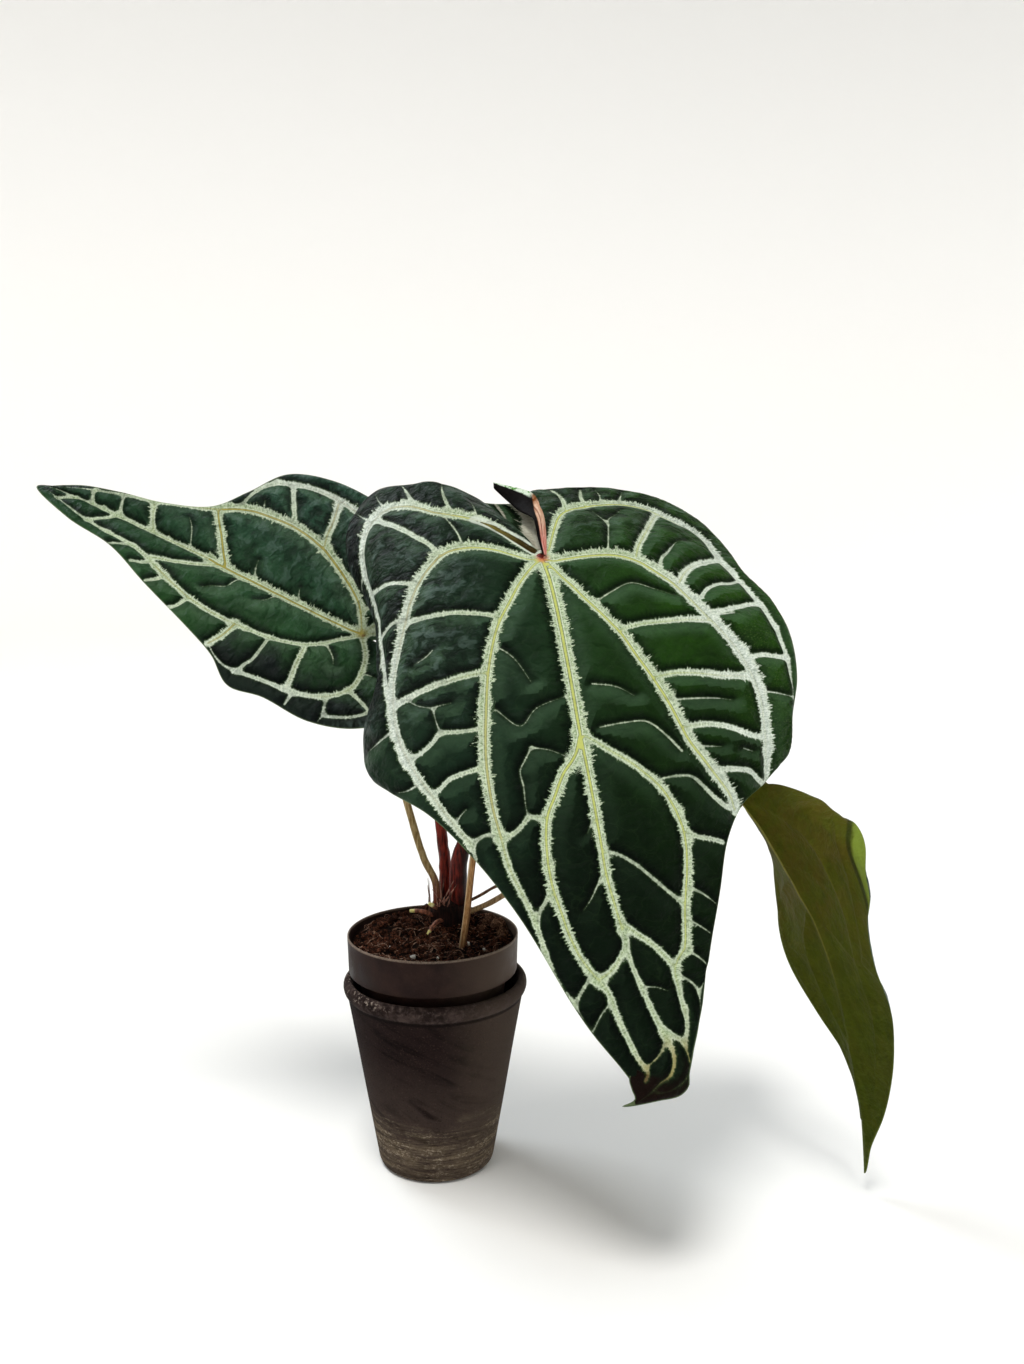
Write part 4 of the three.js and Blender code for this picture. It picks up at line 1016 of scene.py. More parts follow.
class Nodes:
    """A material's nodes: each method adds one and returns its output as a signal."""

    def __init__(self, name, **constants):
        self.material = bpy.data.materials.new(name)
        self.material.use_nodes = True
        self.tree = self.material.node_tree
        self.shader = self.tree.nodes["Principled BSDF"]
        for label, value in constants.items():
            self.set(label.replace("_", " "), value)

    def feed(self, socket, value):
        """Links a signal to the socket, or gives it a number, a vector or a colour's hex digits."""
        if isinstance(value, Signal):
            self.tree.links.new(value.socket, socket)
        elif isinstance(value, str):
            socket.default_value = srgb(value)
        else:
            socket.default_value = value

    def add(self, kind, output, inputs, **settings):
        """One output of a new node with these settings and with its inputs fed."""
        node = self.tree.nodes.new(kind)
        for label, value in settings.items():
            setattr(node, label, value)
        for label, value in inputs.items():
            self.feed(node.inputs[label], value)
        return Signal(self, node.outputs[output])

    def set(self, label, value):
        self.feed(self.shader.inputs[label], value)

    def attribute(self, name, output="Fac"):
        return self.add("ShaderNodeAttribute", output, {}, attribute_name=name)

    def position(self):
        """The point on the object in millimetres."""
        metres = self.add("ShaderNodeTexCoord", "Object", {})
        return self.scaled(metres, (1 / MM, 1 / MM, 1 / MM))

    def scaled(self, vector, factors):
        """The vector with each axis times its own factor."""
        return self.add("ShaderNodeVectorMath", "Vector", {0: vector, 1: factors},
                        operation="MULTIPLY")

    def warped(self, vector, size, amount):
        """The vector pushed about by noise of the given size."""
        push = self.add("ShaderNodeTexNoise", "Color", {"Vector": vector, "Scale": 1 / size})
        reach = (2 * amount, 2 * amount, 2 * amount)
        return self.add("ShaderNodeVectorMath", "Vector", {0: push, 1: reach, 2: vector},
                        operation="MULTIPLY_ADD")

    def axes(self, vector):
        x = self.add("ShaderNodeSeparateXYZ", "X", {"Vector": vector})
        return [Signal(self, socket) for socket in x.socket.node.outputs]

    def vector(self, x, y, z):
        return self.add("ShaderNodeCombineXYZ", "Vector", {"X": x, "Y": y, "Z": z})

    def math(self, operation, a, b=0.0):
        """The result of a math node."""
        return self.add("ShaderNodeMath", "Value", {0: a, 1: b}, operation=operation)

    def distance(self, x, y):
        """Distance from the origin to (x, y)."""
        return self.math("SQRT", self.math("POWER", x, 2.0) + self.math("POWER", y, 2.0))

    def range(self, value, low, high, at_low=0.0, at_high=1.0):
        """Smooth step from at_low where value is low to at_high where it is high."""
        return self.add("ShaderNodeMapRange", "Result",
                        {"Value": value, "From Min": low, "From Max": high,
                         "To Min": at_low, "To Max": at_high}, interpolation_type="SMOOTHSTEP")

    def noise(self, vector, size, detail=2.0, roughness=0.5, distortion=0.0):
        """Noise between 0 and 1 with features of about the given size."""
        return self.add("ShaderNodeTexNoise", "Fac",
                        {"Vector": vector, "Scale": 1 / size, "Detail": detail,
                         "Roughness": roughness, "Distortion": distortion})

    def cell_edges(self, vector, size):
        """Distance to the nearest edge of a net of cells of the given size."""
        return self.add("ShaderNodeTexVoronoi", "Distance", {"Vector": vector, "Scale": 1 / size},
                        feature="DISTANCE_TO_EDGE")

    def mix(self, share, a, b):
        """Colour a where share is 0, colour b where it is 1."""
        node = self.tree.nodes.new("ShaderNodeMix")
        node.data_type = "RGBA"
        first, second = [socket for socket in node.inputs if socket.type == "RGBA"]
        for socket, value in ((node.inputs["Factor"], share), (first, a), (second, b)):
            self.feed(socket, value)
        return Signal(self, [socket for socket in node.outputs if socket.type == "RGBA"][0])

    def bump(self, height, distance):
        """Tilts the surface by a height in millimetres."""
        tilted = self.add("ShaderNodeBump", "Normal",
                          {"Strength": 1.0, "Distance": distance * MM, "Height": height})
        self.set("Normal", tilted)


HAIR_SPACING = 1.5       # along the vein
HAIR_LENGTH = 10.0       # out from the vein


def vein_hairs(nodes, run, past_band, flat):
    """How far the pale colour runs out across a vein's edge, in millimetres."""
    across = nodes.vector(run * (1 / HAIR_SPACING), past_band * (1 / HAIR_LENGTH), 0.0)
    hair = nodes.range(nodes.noise(across, 1.0, 3.0, 0.6), 0.40, 0.76)
    tuft = nodes.range(nodes.noise(flat, 6.0, 2.0, 0.6), 0.3, 0.7, 1.4, 4.8)
    fuzz = nodes.noise(flat, 0.9, 3.0, 0.75) - 0.5
    clump = nodes.noise(flat, 5.0, 2.0, 0.6) - 0.5
    return hair * tuft + fuzz * 5.0 + clump * 3.5


# How each leaf's upper side looks. Spans are (from, to) in millimetres of u or v: the green goes
# from cool, with a bluish painted sheen, to warm, with the brighter green of painted light, darkens
# to deep, a painted shade, wrinkles and its bands turn white over these spans, and the margin takes
# a purplish painted shade outside its span in u, before its span in v. bright is the painted light
# on the top of each swelling. Past gold and withered the leaf is dying back. The skin shines with
# the second strength of gloss where it wrinkles and gloss_v allows it, else with the first. The
# line along a main vein has the colour rib, and the leaf's base the colour joint.

LOOK_FRONT = {
    "cool": "1c2f21", "warm": "22420f", "warm_u": (-60, 90),
    "deep": "030b04", "deep_v": (30, 225),
    "bright": "6f9470", "white_u": (48, 112),
    "wrinkle_u": (-20, -85), "gloss": (0.03, 0.08), "gloss_v": (130, 60),
    "margin_shade_u": (-106, -128), "margin_shade_v": (120, 60),
    "gold_v": (306, 336), "withered_v": (330, 347),
    "rib": "c3c86c", "joint": "c8604e",
}
LOOK_SIDE = {
    "cool": "294837", "warm": "284a24", "warm_u": (-80, 80),
    "deep": "0c1810", "deep_v": (900, 990),
    "bright": "7ea07c", "white_u": (40, 90),
    "wrinkle_u": (70, -90), "gloss": (0.04, 0.08), "gloss_v": (900, 800),
    "margin_shade_u": (34, 66), "margin_shade_v": (110, 70),
    "gold_v": (400, 420), "withered_v": (400, 420),
    "rib": "a3983f", "joint": "a89a4c",
}


class LeafPoint:
    """What the upper side's colour depends on at a point: place, nearest vein and noise."""

    def __init__(self, nodes):
        self.flat = nodes.attribute("flat", "Vector")
        self.u, self.v, self.sheet = nodes.axes(self.flat)
        self.past_band = nodes.attribute("past_band")
        self.core = nodes.attribute("core")
        self.run = nodes.attribute("run")
        self.width = nodes.attribute("vein_width")
        self.edge = nodes.attribute("edge")
        self.groove = nodes.attribute("groove")
        self.lee = nodes.attribute("lee")
        self.from_middle = abs(self.u)
        self.web = nodes.range(self.sheet, OVERLAP_DEPTH - 1, OVERLAP_DEPTH)
        self.speckle = nodes.noise(self.flat, 1.1, 3.0, 0.8)
        self.cloud = nodes.noise(self.flat, 26, 3.0, 0.6)
        self.drift = (self.cloud - 0.5) * 40
        self.u_drifted = self.u + self.drift
        self.v_drifted = self.v + self.drift


def dark_green(nodes, look, at):
    """The velvety skin between the veins, with painted light and shade; leaves net, creases, sheen
    in at.
    """
    # Painted light: the cool green carries a bluish painted sheen on the left, the warm green the
    # brighter painted light on the right.
    warmth = nodes.range(at.u_drifted, *look["warm_u"])
    green = nodes.mix(warmth, look["cool"], look["warm"])
    # Painted shade: the green darkens down the hanging lower blade, less towards its sides.
    deepness = nodes.range(at.v_drifted, *look["deep_v"], 0.1, 0.9)
    deepness *= nodes.range(at.u_drifted, 95, 140, 1.0, 0.6)
    deepness *= nodes.range(at.u_drifted, -35, -75, 1.0, 0.35)
    green = nodes.mix(deepness, green, look["deep"])
    green = nodes.mix(nodes.range(at.cloud, 0.35, 0.65, 0.0, 0.4), green, "0a130c")
    # Painted glints: light speckles, faint all over and strongest near the right margin.
    sparkle = nodes.range(at.u_drifted, 90, 130, 0.015, 0.4)
    green = nodes.mix(nodes.range(at.speckle, 0.52, 0.75) * sparkle, green, "7c9a52")
    crooked = nodes.warped(at.flat, 9.0, 5.0)
    at.net = nodes.cell_edges(nodes.scaled(crooked, (0.7, 1.0, 1.0)), 13.0)
    green = nodes.mix(nodes.range(at.net, 0.0, 0.03, 0.02, 0.0), green, "6f9058")
    # Painted highlight on the top of each swelling, just below the vein above it, fading down the
    # blade.
    lit = nodes.range(at.lee, 0.3, -0.7) * nodes.range(at.past_band, 14.0, 1.0)
    lit *= nodes.range(at.v, 60, 240, 0.22, 0.02)
    green = nodes.mix(lit, green, look["bright"])
    # Painted shade, purplish, on the margin outside one span in u and before one in v.
    margin_shade = nodes.range(at.u_drifted, *look["margin_shade_u"])
    margin_shade *= nodes.range(at.v_drifted, *look["margin_shade_v"])
    green = nodes.mix(margin_shade * 0.85, green, "100d16")
    at.crease = nodes.noise(nodes.scaled(crooked, (0.6, 1.1, 1.0)), 8.0, 4.0, 0.55)
    at.satin = nodes.range(at.u_drifted, *look["wrinkle_u"])
    at.satin *= nodes.range(at.v_drifted, *look["gloss_v"])
    at.satin = nodes.math("MAXIMUM", at.satin, nodes.range(at.v_drifted, 5, -45, 0.0, 0.8))
    # Painted highlights on the crests of the creases and painted shade in their troughs, where the
    # skin shines.
    crest = nodes.range(at.crease, 0.52, 0.64) * at.satin
    green = nodes.mix(crest * 0.18, green, "8aa39a")
    trough = nodes.range(at.crease, 0.5, 0.38) * at.satin
    return nodes.mix(trough * 0.7, green, "07100b")


def vein_bands(nodes, look, at, green):
    """Frosted pale bands along the veins, feathered into the green."""
    hairs = vein_hairs(nodes, at.run, at.past_band, at.flat)
    reach = nodes.range(at.width, 0.8, 8.0, 0.14, 1.0)
    feathered = at.past_band - hairs * reach
    feathered += nodes.range(at.width, 0.8, 2.6, 0.25, 0.0)
    gold = nodes.range(at.v_drifted, *look["gold_v"])
    feathered += gold * 0.6
    # Painted shade: near-black beside each band, darkest on the lower side of each swelling.
    rim = nodes.range(feathered, 0.2, 7.0, 0.9, 0.0) * nodes.range(at.lee, -0.5, 0.6, 0.35, 1.0)
    green = nodes.mix(rim, green, "020503")
    whiteness = nodes.range(at.from_middle + at.drift, *look["white_u"])
    frost = nodes.noise(nodes.vector(at.run * 1.3, at.past_band * 0.35, 0.0), 1.0, 3.0, 0.75)
    frost = frost * 0.5 + nodes.noise(at.flat, 1.3, 3.0, 0.75) * 0.5
    sage = nodes.mix(nodes.range(frost, 0.40, 0.60), "6f865a", "cddab8")
    white = nodes.mix(nodes.range(frost, 0.38, 0.60), "98a898", "e8eee4")
    pale = nodes.mix(whiteness, sage, white)
    fringe = nodes.range(feathered, -2.0, -0.3, 0.0, 0.5)
    pale = nodes.mix(fringe, pale, "dfe8d4")
    pale = nodes.mix(at.web * 0.75, pale, "b0a69a")
    pale = nodes.mix(gold * 0.8, pale, "93802e")
    withered = nodes.range(at.v_drifted, *look["withered_v"])
    pale = nodes.mix(withered * 0.8, pale, "4f3826")
    green = nodes.mix(withered * 0.92, green, "150a07")
    firm = nodes.math("MAXIMUM", nodes.range(at.width, 1.2, 2.6),
                      nodes.range(nodes.noise(at.flat, 3.5, 2.0, 0.6), 0.35, 0.65, 0.45, 0.95))
    halo = nodes.range(feathered, -0.4, 1.2, 0.35, 0.0) * nodes.range(at.width, 1.0, 5.0, 0.3, 1.0)
    colour = nodes.mix(halo, green, "6d9058")
    band = nodes.range(feathered, -0.45, 0.2, 1.0, 0.0) * firm
    return nodes.mix(band, colour, pale)


def main_vein_lines(nodes, look, at, colour):
    """A yellow line along each main vein near the middle, in a shadow, between pale flanks."""
    central = nodes.range(at.from_middle, 60.0, 118.0, 1.0, 0.12)
    central *= nodes.range(at.v, 220.0, 330.0, 1.0, 0.3)
    central *= 1.0 - at.web
    lined = nodes.range(at.width, 2.6, 6.0, 0.0, 0.95) * central
    line_width = nodes.range(at.width, 3.0, 12.0, 0.5, 0.95)
    from_line = at.core / line_width
    flank = nodes.range(abs(from_line - 2.1), 0.0, 0.8, 0.7, 0.0)
    colour = nodes.mix(flank * lined, colour, "e2ead2")
    shadow = nodes.range(abs(from_line - 1.25), 0.0, 0.4, 0.75, 0.0)
    colour = nodes.mix(shadow * lined, colour, "556022")
    tan = nodes.range(at.u, -70.0, -30.0, 1.0, 0.0)
    rib = nodes.mix(tan, look["rib"], "b3ab78")
    line = nodes.range(from_line, 0.75, 1.15, 1.0, 0.0) * lined
    return nodes.mix(line, colour, rib)


def lobe_groove(nodes, at, colour):
    """The olive groove of the left lobe's vein, below a pale slope."""
    above = nodes.range(at.groove + at.speckle * 1.6, 6.6, 4.8)
    colour = nodes.mix(above * 0.8, colour, "d2dacb")
    tapered = at.groove + nodes.range(at.u, -22.0, -38.0, 0.0, 1.9)
    at.sunk = nodes.range(tapered + at.speckle * 0.8, 3.2, 2.4)
    olive = nodes.mix(nodes.range(at.u, -30.0, -7.0), "70652a", "362b10")
    return nodes.mix(at.sunk, colour, olive)


def leaf_top_material(name, look):
    """Velvety dark green between frosted pale veins."""
    nodes = Nodes(name)
    at = LeafPoint(nodes)
    green = dark_green(nodes, look, at)
    colour = vein_bands(nodes, look, at, green)
    colour = main_vein_lines(nodes, look, at, colour)
    colour = lobe_groove(nodes, at, colour)
    blush = nodes.range(nodes.distance(at.u, at.v) + at.cloud * 5.0, 3.0, 8.5, 0.85, 0.0)
    colour = nodes.mix(blush, colour, look["joint"])
    margin = nodes.range(at.edge, 0.2, 0.9, 0.4, 0.0)
    colour = nodes.mix(margin, colour, "7f9468")
    nodes.set("Base Color", colour)

    grain = nodes.noise(at.flat, 0.9, 3.0, 0.7)
    nodes.set("Roughness", nodes.range(grain, 0.3, 0.7, 0.34, 0.5))
    nodes.set("Specular IOR Level", nodes.range(at.satin, 0.0, 1.0, *look["gloss"]))
    ridge = nodes.range(at.core, 0.2, 1.6, 1.0, 0.0) * nodes.range(at.width, 2.5, 9.0, 0.15, 0.9)
    wrinkled = nodes.range(at.satin, 0.0, 1.0, 2.2, 8.0)
    relief = at.crease * wrinkled + grain * 0.22 + ridge
    relief += nodes.range(at.net, 0.0, 0.32, 0.0, 1.3) - at.sunk * 1.5
    nodes.bump(relief, 1.0)
    return nodes.material


def leaf_fold_material():
    """The tender margin by the petiole: pinkish brown, black painted shade further out, pale on its
    top.
    """
    nodes = Nodes("leaf_fold", Roughness=0.5, Specular_IOR_Level=0.02)
    flat = nodes.attribute("flat", "Vector")
    across, back, _ = nodes.axes(flat)
    streak = nodes.noise(nodes.scaled(flat, (1.0, 0.2, 1.0)), 1.6, 4.0, 0.7)
    blotch = nodes.noise(flat, 3.0, 3.0, 0.6)
    colour = nodes.mix(nodes.range(streak, 0.35, 0.7), "b98a6e", "e2c3a8")
    pink = nodes.range(back, 6, 30, 0.85, 0.0)
    colour = nodes.mix(pink, colour, nodes.mix(nodes.range(streak, 0.4, 0.65), "b5564e", "e2a49c"))
    fold = nodes.range(abs(across - 4.6), 0.2, 0.7, 0.7, 0.0)
    fold *= nodes.range(back, 8, 16)
    colour = nodes.mix(fold, colour, "641c14")
    rust = nodes.range(back, 42, 48) * nodes.range(blotch, 0.35, 0.6, 0.5, 1.0)
    colour = nodes.mix(rust, colour, "6e3a0c")
    # Painted shade: black from the free edge inwards, over more of the width further up.
    dark_from = nodes.range(back, 30, 60, 7.0, 0.2)
    past_dark = across + streak - dark_from
    colour = nodes.mix(nodes.range(past_dark, 0.0, 1.0), colour, "0b0706")
    strip = nodes.range(across + blotch, 3.6, 2.6) * nodes.range(back, 50, 56)
    tip_green = nodes.mix(nodes.range(blotch, 0.5, 0.6), "cfdcc8", "4f8a34")
    colour = nodes.mix(strip, colour, tip_green)
    nodes.set("Base Color", colour)
    nodes.bump(streak, 0.5)
    return nodes.material


def leaf_underside_material(name, rolled_margin=False):
    """Matt olive, thin yellow midrib; painted light and shade where the right leaf's margin rolls
    over.
    """
    nodes = Nodes(name, Roughness=0.6, Specular_IOR_Level=0.04)
    flat = nodes.attribute("flat", "Vector")
    core = nodes.attribute("core")
    width = nodes.attribute("vein_width")
    edge = nodes.attribute("edge")
    cloud = nodes.noise(flat, 30, 3.0, 0.6)
    u, v, _ = nodes.axes(flat)
    shade = nodes.range(v + cloud * 90, 60, 340)
    green = nodes.mix(shade, "484f0b", "333f08")
    streak = nodes.noise(nodes.scaled(flat, (1.0, 0.3, 1.0)), 5.0, 4.0, 0.7)
    green = nodes.mix(nodes.range(streak, 0.35, 0.75, 0.0, 0.45), green, "202b05")
    blotch = nodes.noise(flat, 16.0, 3.0, 0.65)
    brown = nodes.range(blotch, 0.35, 0.65, 0.2, 0.75) * nodes.range(v, 130, 60, 0.3, 1.0)
    green = nodes.mix(brown, green, "504616")
    crooked = nodes.warped(flat, 9.0, 5.0)
    net = nodes.cell_edges(nodes.scaled(crooked, (0.7, 1.0, 1.0)), 11.0)
    green = nodes.mix(nodes.range(net, 0.0, 0.06, 0.05, 0.0), green, "7c8a3c")
    main = nodes.range(width, 3.4, 5.5)
    near = nodes.range(abs(u), 10.0, 16.0, 1.0, 0.45)
    line = nodes.range(core, 0.5, 1.2, 0.8, 0.0) * (main * near)
    colour = nodes.mix(line, green, "97914a")
    if rolled_margin:
        # Painted light on the rolled margin, and painted shade in the crease where it turns over.
        frayed = u + (streak - 0.5) * 9.0
        rolled = nodes.range(frayed, -78.5, -84.0) * nodes.range(v, 24.0, 34.0)
        colour = nodes.mix(rolled * 0.75, colour, "7c9036")
        fold = nodes.range(abs(u + 79.0), 1.0, 3.0, 0.7, 0.0) * nodes.range(v, 24.0, 34.0)
        colour = nodes.mix(fold, colour, "1c2406")
    colour = nodes.mix(nodes.range(edge, 0.4, 1.6, 0.35, 0.0), colour, "7c8a34")
    nodes.set("Base Color", colour)
    relief = nodes.noise(flat, 3.0, 4.0, 0.65) + nodes.range(core, 0.2, 1.8, 1.1, 0.0) * main
    relief += nodes.noise(flat, 14.0, 3.0, 0.6) * 4.0
    nodes.bump(relief, 1.0)
    return nodes.material


ROLL_FOOT = 124.6        # height of the groove under the cover pot's rolled rim
INNER_FOOT_RADIUS = 33.6     # the cover pot's inner wall, carried down to the floor
INNER_WALL_SLOPE = 0.172


def clay_foot(nodes, spot, z, low, ring, colour):
    """Lime in rings, chips with dark gaps and splashes of soil near the foot."""
    colour = nodes.mix(low * nodes.range(ring, 0.4, 0.62, 0.15, 0.85), colour, "665949")
    flecks = nodes.noise(nodes.scaled(spot, (0.7, 0.7, 1.5)), 2.2, 4.0, 0.85)
    chips = nodes.range(flecks, 0.53, 0.6) * low
    chips *= nodes.range(ring, 0.42, 0.6, 0.1, 1.0)
    chips *= nodes.range(nodes.noise(spot, 12.0, 2.0, 0.6), 0.4, 0.54, 0.15, 1.0)
    colour = nodes.mix(chips * 0.9, colour, "a59682")
    gaps = nodes.range(flecks, 0.44, 0.38) * low
    colour = nodes.mix(gaps * 0.6, colour, "1a120e")
    splash = nodes.range(flecks, 0.64, 0.7) * nodes.range(z, 70, 40)
    return nodes.mix(splash * 0.5, colour, "6f6154")


def clay_rim(nodes, spot, x, z, bloom, colour):
    """Bloom on the rolled rim, painted highlight on its top at the left, painted shade in the groove
    below.
    """
    colour = nodes.mix(bloom, colour, "4a3e3a")
    # Painted highlight in patches on the top of the rim, on the left.
    rim_highlight_patches = nodes.range(nodes.noise(spot, 3.0, 4.0, 0.75), 0.55, 0.63, 0.0, 0.85)
    rim_highlight = nodes.range(z, 130.0, 134.0) * rim_highlight_patches
    rim_highlight *= nodes.range(x, -22.0, -42.0, 0.06, 1.0)
    colour = nodes.mix(rim_highlight, colour, "9a8c80")
    # Painted shade in the groove under the roll.
    under_roll = nodes.range(abs(z - ROLL_FOOT), 0.4, 2.2, 0.75, 0.0)
    return nodes.mix(under_roll, colour, "0b0706")


def clay_material():
    """Smoked clay, chalky, with lime and soil stains near the foot, and painted light and shade."""
    nodes = Nodes("clay", Roughness=0.75, Specular_IOR_Level=0.03)
    spot = nodes.position()
    x, y, z = nodes.axes(spot)
    slanted = nodes.vector(x * 0.18, y * 0.18, z + x * 0.5)
    streak = nodes.range(nodes.noise(slanted, 11.0, 3.0, 0.55, 0.8), 0.34, 0.52)
    grain = nodes.noise(spot, 1.3, 4.0, 0.7)
    cloud = nodes.noise(spot, 30.0, 3.0, 0.55)
    colour = nodes.mix(streak, "080404", "1d1413")
    colour = nodes.mix(nodes.range(cloud, 0.35, 0.65, 0.0, 0.5), colour, "241a18")
    faded = nodes.range(z, 105, 50, 0.0, 0.6) * streak
    colour = nodes.mix(faded, colour, "3d332e")
    # Painted light on the right side.
    side = nodes.range(x + cloud * 12, 8, 56, 0.0, 0.75)
    colour = nodes.mix(side, colour, "4b4038")
    colour = nodes.mix(nodes.range(grain, 0.52, 0.8, 0.0, 0.25), colour, "6a554a")
    low = nodes.range(z + (cloud - 0.5) * 46, 26, 56, 1.0, 0.0)
    ring = nodes.noise(nodes.scaled(spot, (0.08, 0.08, 1.0)), 4.2, 4.0, 0.7, 0.3)
    colour = clay_foot(nodes, spot, z, low, ring, colour)
    rolled = nodes.range(z, ROLL_FOOT - 1.1, ROLL_FOOT + 1.9)
    bloom = rolled * nodes.range(nodes.noise(spot, 6.0, 5.0, 0.7), 0.42, 0.66, 0.1, 0.75)
    colour = clay_rim(nodes, spot, x, z, bloom, colour)
    # Painted shade over the inside of the pot.
    wall = nodes.distance(x, y) - (INNER_FOOT_RADIUS + z * INNER_WALL_SLOPE)
    colour = nodes.mix(nodes.range(wall, 1.0, 3.5, 0.7, 0.0), colour, "120d0b")
    nodes.set("Base Color", colour)
    pits = nodes.range(nodes.noise(spot, 1.8, 3.0, 0.8), 0.3, 0.42, -0.6, 0.0)
    relief = grain * 0.5 + pits + ring * low * 2.0 + bloom * 0.8
    nodes.bump(relief, 0.8)
    return nodes.material


def pot_plastic_material():
    """Taupe recycled plastic, a little dusty, with painted light on its right and along its lip."""
    nodes = Nodes("pot_plastic", Roughness=0.5, Specular_IOR_Level=0.06)
    spot = nodes.position()
    x, _, z = nodes.axes(spot)
    dust = nodes.noise(spot, 14.0, 3.0, 0.6)
    colour = nodes.mix(nodes.range(dust, 0.3, 0.75), "1e1210", "2b1d19")
    # Painted light on the right side.
    colour = nodes.mix(nodes.range(x, 0, 58, 0.0, 0.8), colour, "54463c")
    grain = nodes.noise(spot, 0.9, 3.0, 0.7)
    colour = nodes.mix(nodes.range(grain, 0.5, 0.8, 0.0, 0.15), colour, "574940")
    # Painted highlight along the top of the lip.
    lip = nodes.range(z, 166.0, 167.2) * nodes.range(grain, 0.3, 0.6, 0.3, 0.9)
    colour = nodes.mix(lip, colour, "7d6d60")
    nodes.set("Base Color", colour)
    nodes.set("Roughness", nodes.range(dust, 0.3, 0.7, 0.40, 0.58))
    nodes.bump(grain, 0.15)
    return nodes.material


def soil_material(name, dark, light, size):
    """Crumbly stuff from dark to light with features of the given size, darker where it is damp."""
    nodes = Nodes(name, Roughness=0.95, Specular_IOR_Level=0.04)
    spot = nodes.position()
    crumbs = nodes.noise(spot, size, 5.0, 0.75)
    colour = nodes.mix(nodes.range(crumbs, 0.4, 0.68), dark, light)
    damp = nodes.noise(spot, 5.0, 3.0, 0.65)
    nodes.set("Base Color", nodes.mix(nodes.range(damp, 0.45, 0.60, 0.0, 0.7), colour, dark))
    nodes.bump(nodes.noise(spot, size * 0.6, 5.0, 0.75), 1.4)
    return nodes.material


def stem_material(name, dark, light, low_dark=None, low_z=(0, 1), roughness=0.4, shaded_x=None):
    """Streaked skin of a stalk; low_dark stains it below two heights, shaded_x darkens one side."""
    nodes = Nodes(name, Roughness=roughness, Specular_IOR_Level=0.12)
    spot = nodes.position()
    x, _, z = nodes.axes(spot)
    streak = nodes.noise(nodes.scaled(spot, (1.0, 1.0, 0.14)), 1.6, 4.0, 0.65)
    colour = nodes.mix(nodes.range(streak, 0.35, 0.68), dark, light)
    if low_dark:
        low = nodes.range(z + streak * 20, *low_z, 1.0, 0.0)
        colour = nodes.mix(low, colour, low_dark)
    if shaded_x:
        shaded = nodes.range(x, *shaded_x) * nodes.range(z, 240, 215, 0.2, 0.9)
        colour = nodes.mix(shaded, colour, "0c0504")
    freckle = nodes.noise(spot, 0.9, 3.0, 0.7)
    colour = nodes.mix(nodes.range(freckle, 0.6, 0.75, 0.0, 0.45), colour, "1d120e")
    nodes.set("Base Color", colour)
    nodes.bump(nodes.noise(nodes.scaled(spot, (1.0, 1.0, 0.2)), 1.2, 3.0, 0.6), 0.35)
    return nodes.material


def root_material():
    """Brown root skin that ends in a waxy yellow tip."""
    nodes = Nodes("young_root", Roughness=0.5, Specular_IOR_Level=0.3)
    spot = nodes.position()
    streak = nodes.noise(spot, 1.5, 4.0, 0.7)
    colour = nodes.mix(nodes.range(streak, 0.35, 0.68), "43231a", "a8684c")
    to_tip = nodes.attribute("to_tip") + streak * 1.5
    colour = nodes.mix(nodes.range(to_tip, 4.2, 5.6, 1.0, 0.0), colour,
                       nodes.mix(nodes.range(streak, 0.3, 0.7), "d6c75c", "f6f0b8"))
    nodes.set("Base Color", colour)
    nodes.bump(streak, 0.5)
    return nodes.material


def wood_material():
    """Split bamboo: long straight fibres."""
    nodes = Nodes("bamboo", Roughness=0.6, Specular_IOR_Level=0.1)
    spot = nodes.position()
    fibre = nodes.noise(nodes.scaled(spot, (1.0, 1.0, 0.03)), 0.7, 4.0, 0.7)
    x, _, z = nodes.axes(spot)
    lean = (STAKE_HEAD[0] - STAKE_FOOT[0]) / (STAKE_HEAD[2] - STAKE_FOOT[2])
    axis = z * lean + (STAKE_FOOT[0] - STAKE_FOOT[2] * lean)
    aside = x - axis
    colour = nodes.mix(nodes.range(fibre, 0.3, 0.7), "855a34", "c99a68")
    # Painted light along the left edge and painted shade along the right.
    colour = nodes.mix(nodes.range(aside, -1.2, -1.9, 0.0, 0.7), colour, "dcc09a")
    colour = nodes.mix(nodes.range(aside, 0.9, 1.7, 0.0, 0.7), colour, "59391f")
    damp = nodes.range(z + fibre * 8, 160, 185, 0.7, 0.0)
    colour = nodes.mix(damp, colour, "4b3524")
    nodes.set("Base Color", colour)
    nodes.bump(fibre, 0.4)
    return nodes.material


# ------------------------------------------------------------------------------------ pots


POT_SIDES = 176
POT_AXIS = (-1.5, 0)     # the nursery pot stands a little off the cover pot's middle


def turned(name, node, profile, radii, centre, material, lump, seed):
    """A turned pot, a little uneven all round."""
    outline = rounded(profile, radii)
    fine = [outline[0]]
    for start, end in zip(outline, outline[1:]):
        pieces = max(1, int(np.linalg.norm(end - start) / 5))
        fine += [start + (end - start) * k / pieces for k in range(1, pieces + 1)]
    points, faces = lathe(fine, POT_SIDES, centre)
    offset = points[:, :2] - centre
    angle = np.arctan2(offset[:, 1], offset[:, 0])
    wave = lattice_noise(8 * np.cos(angle) + 20, 8 * np.sin(angle) + 0.12 * points[:, 2], 5, seed)
    points[:, :2] += offset * (lump * wave / 60)[:, None]
    piece = mesh_object(name, points, faces, [material])
    return place(piece, "clay", node)


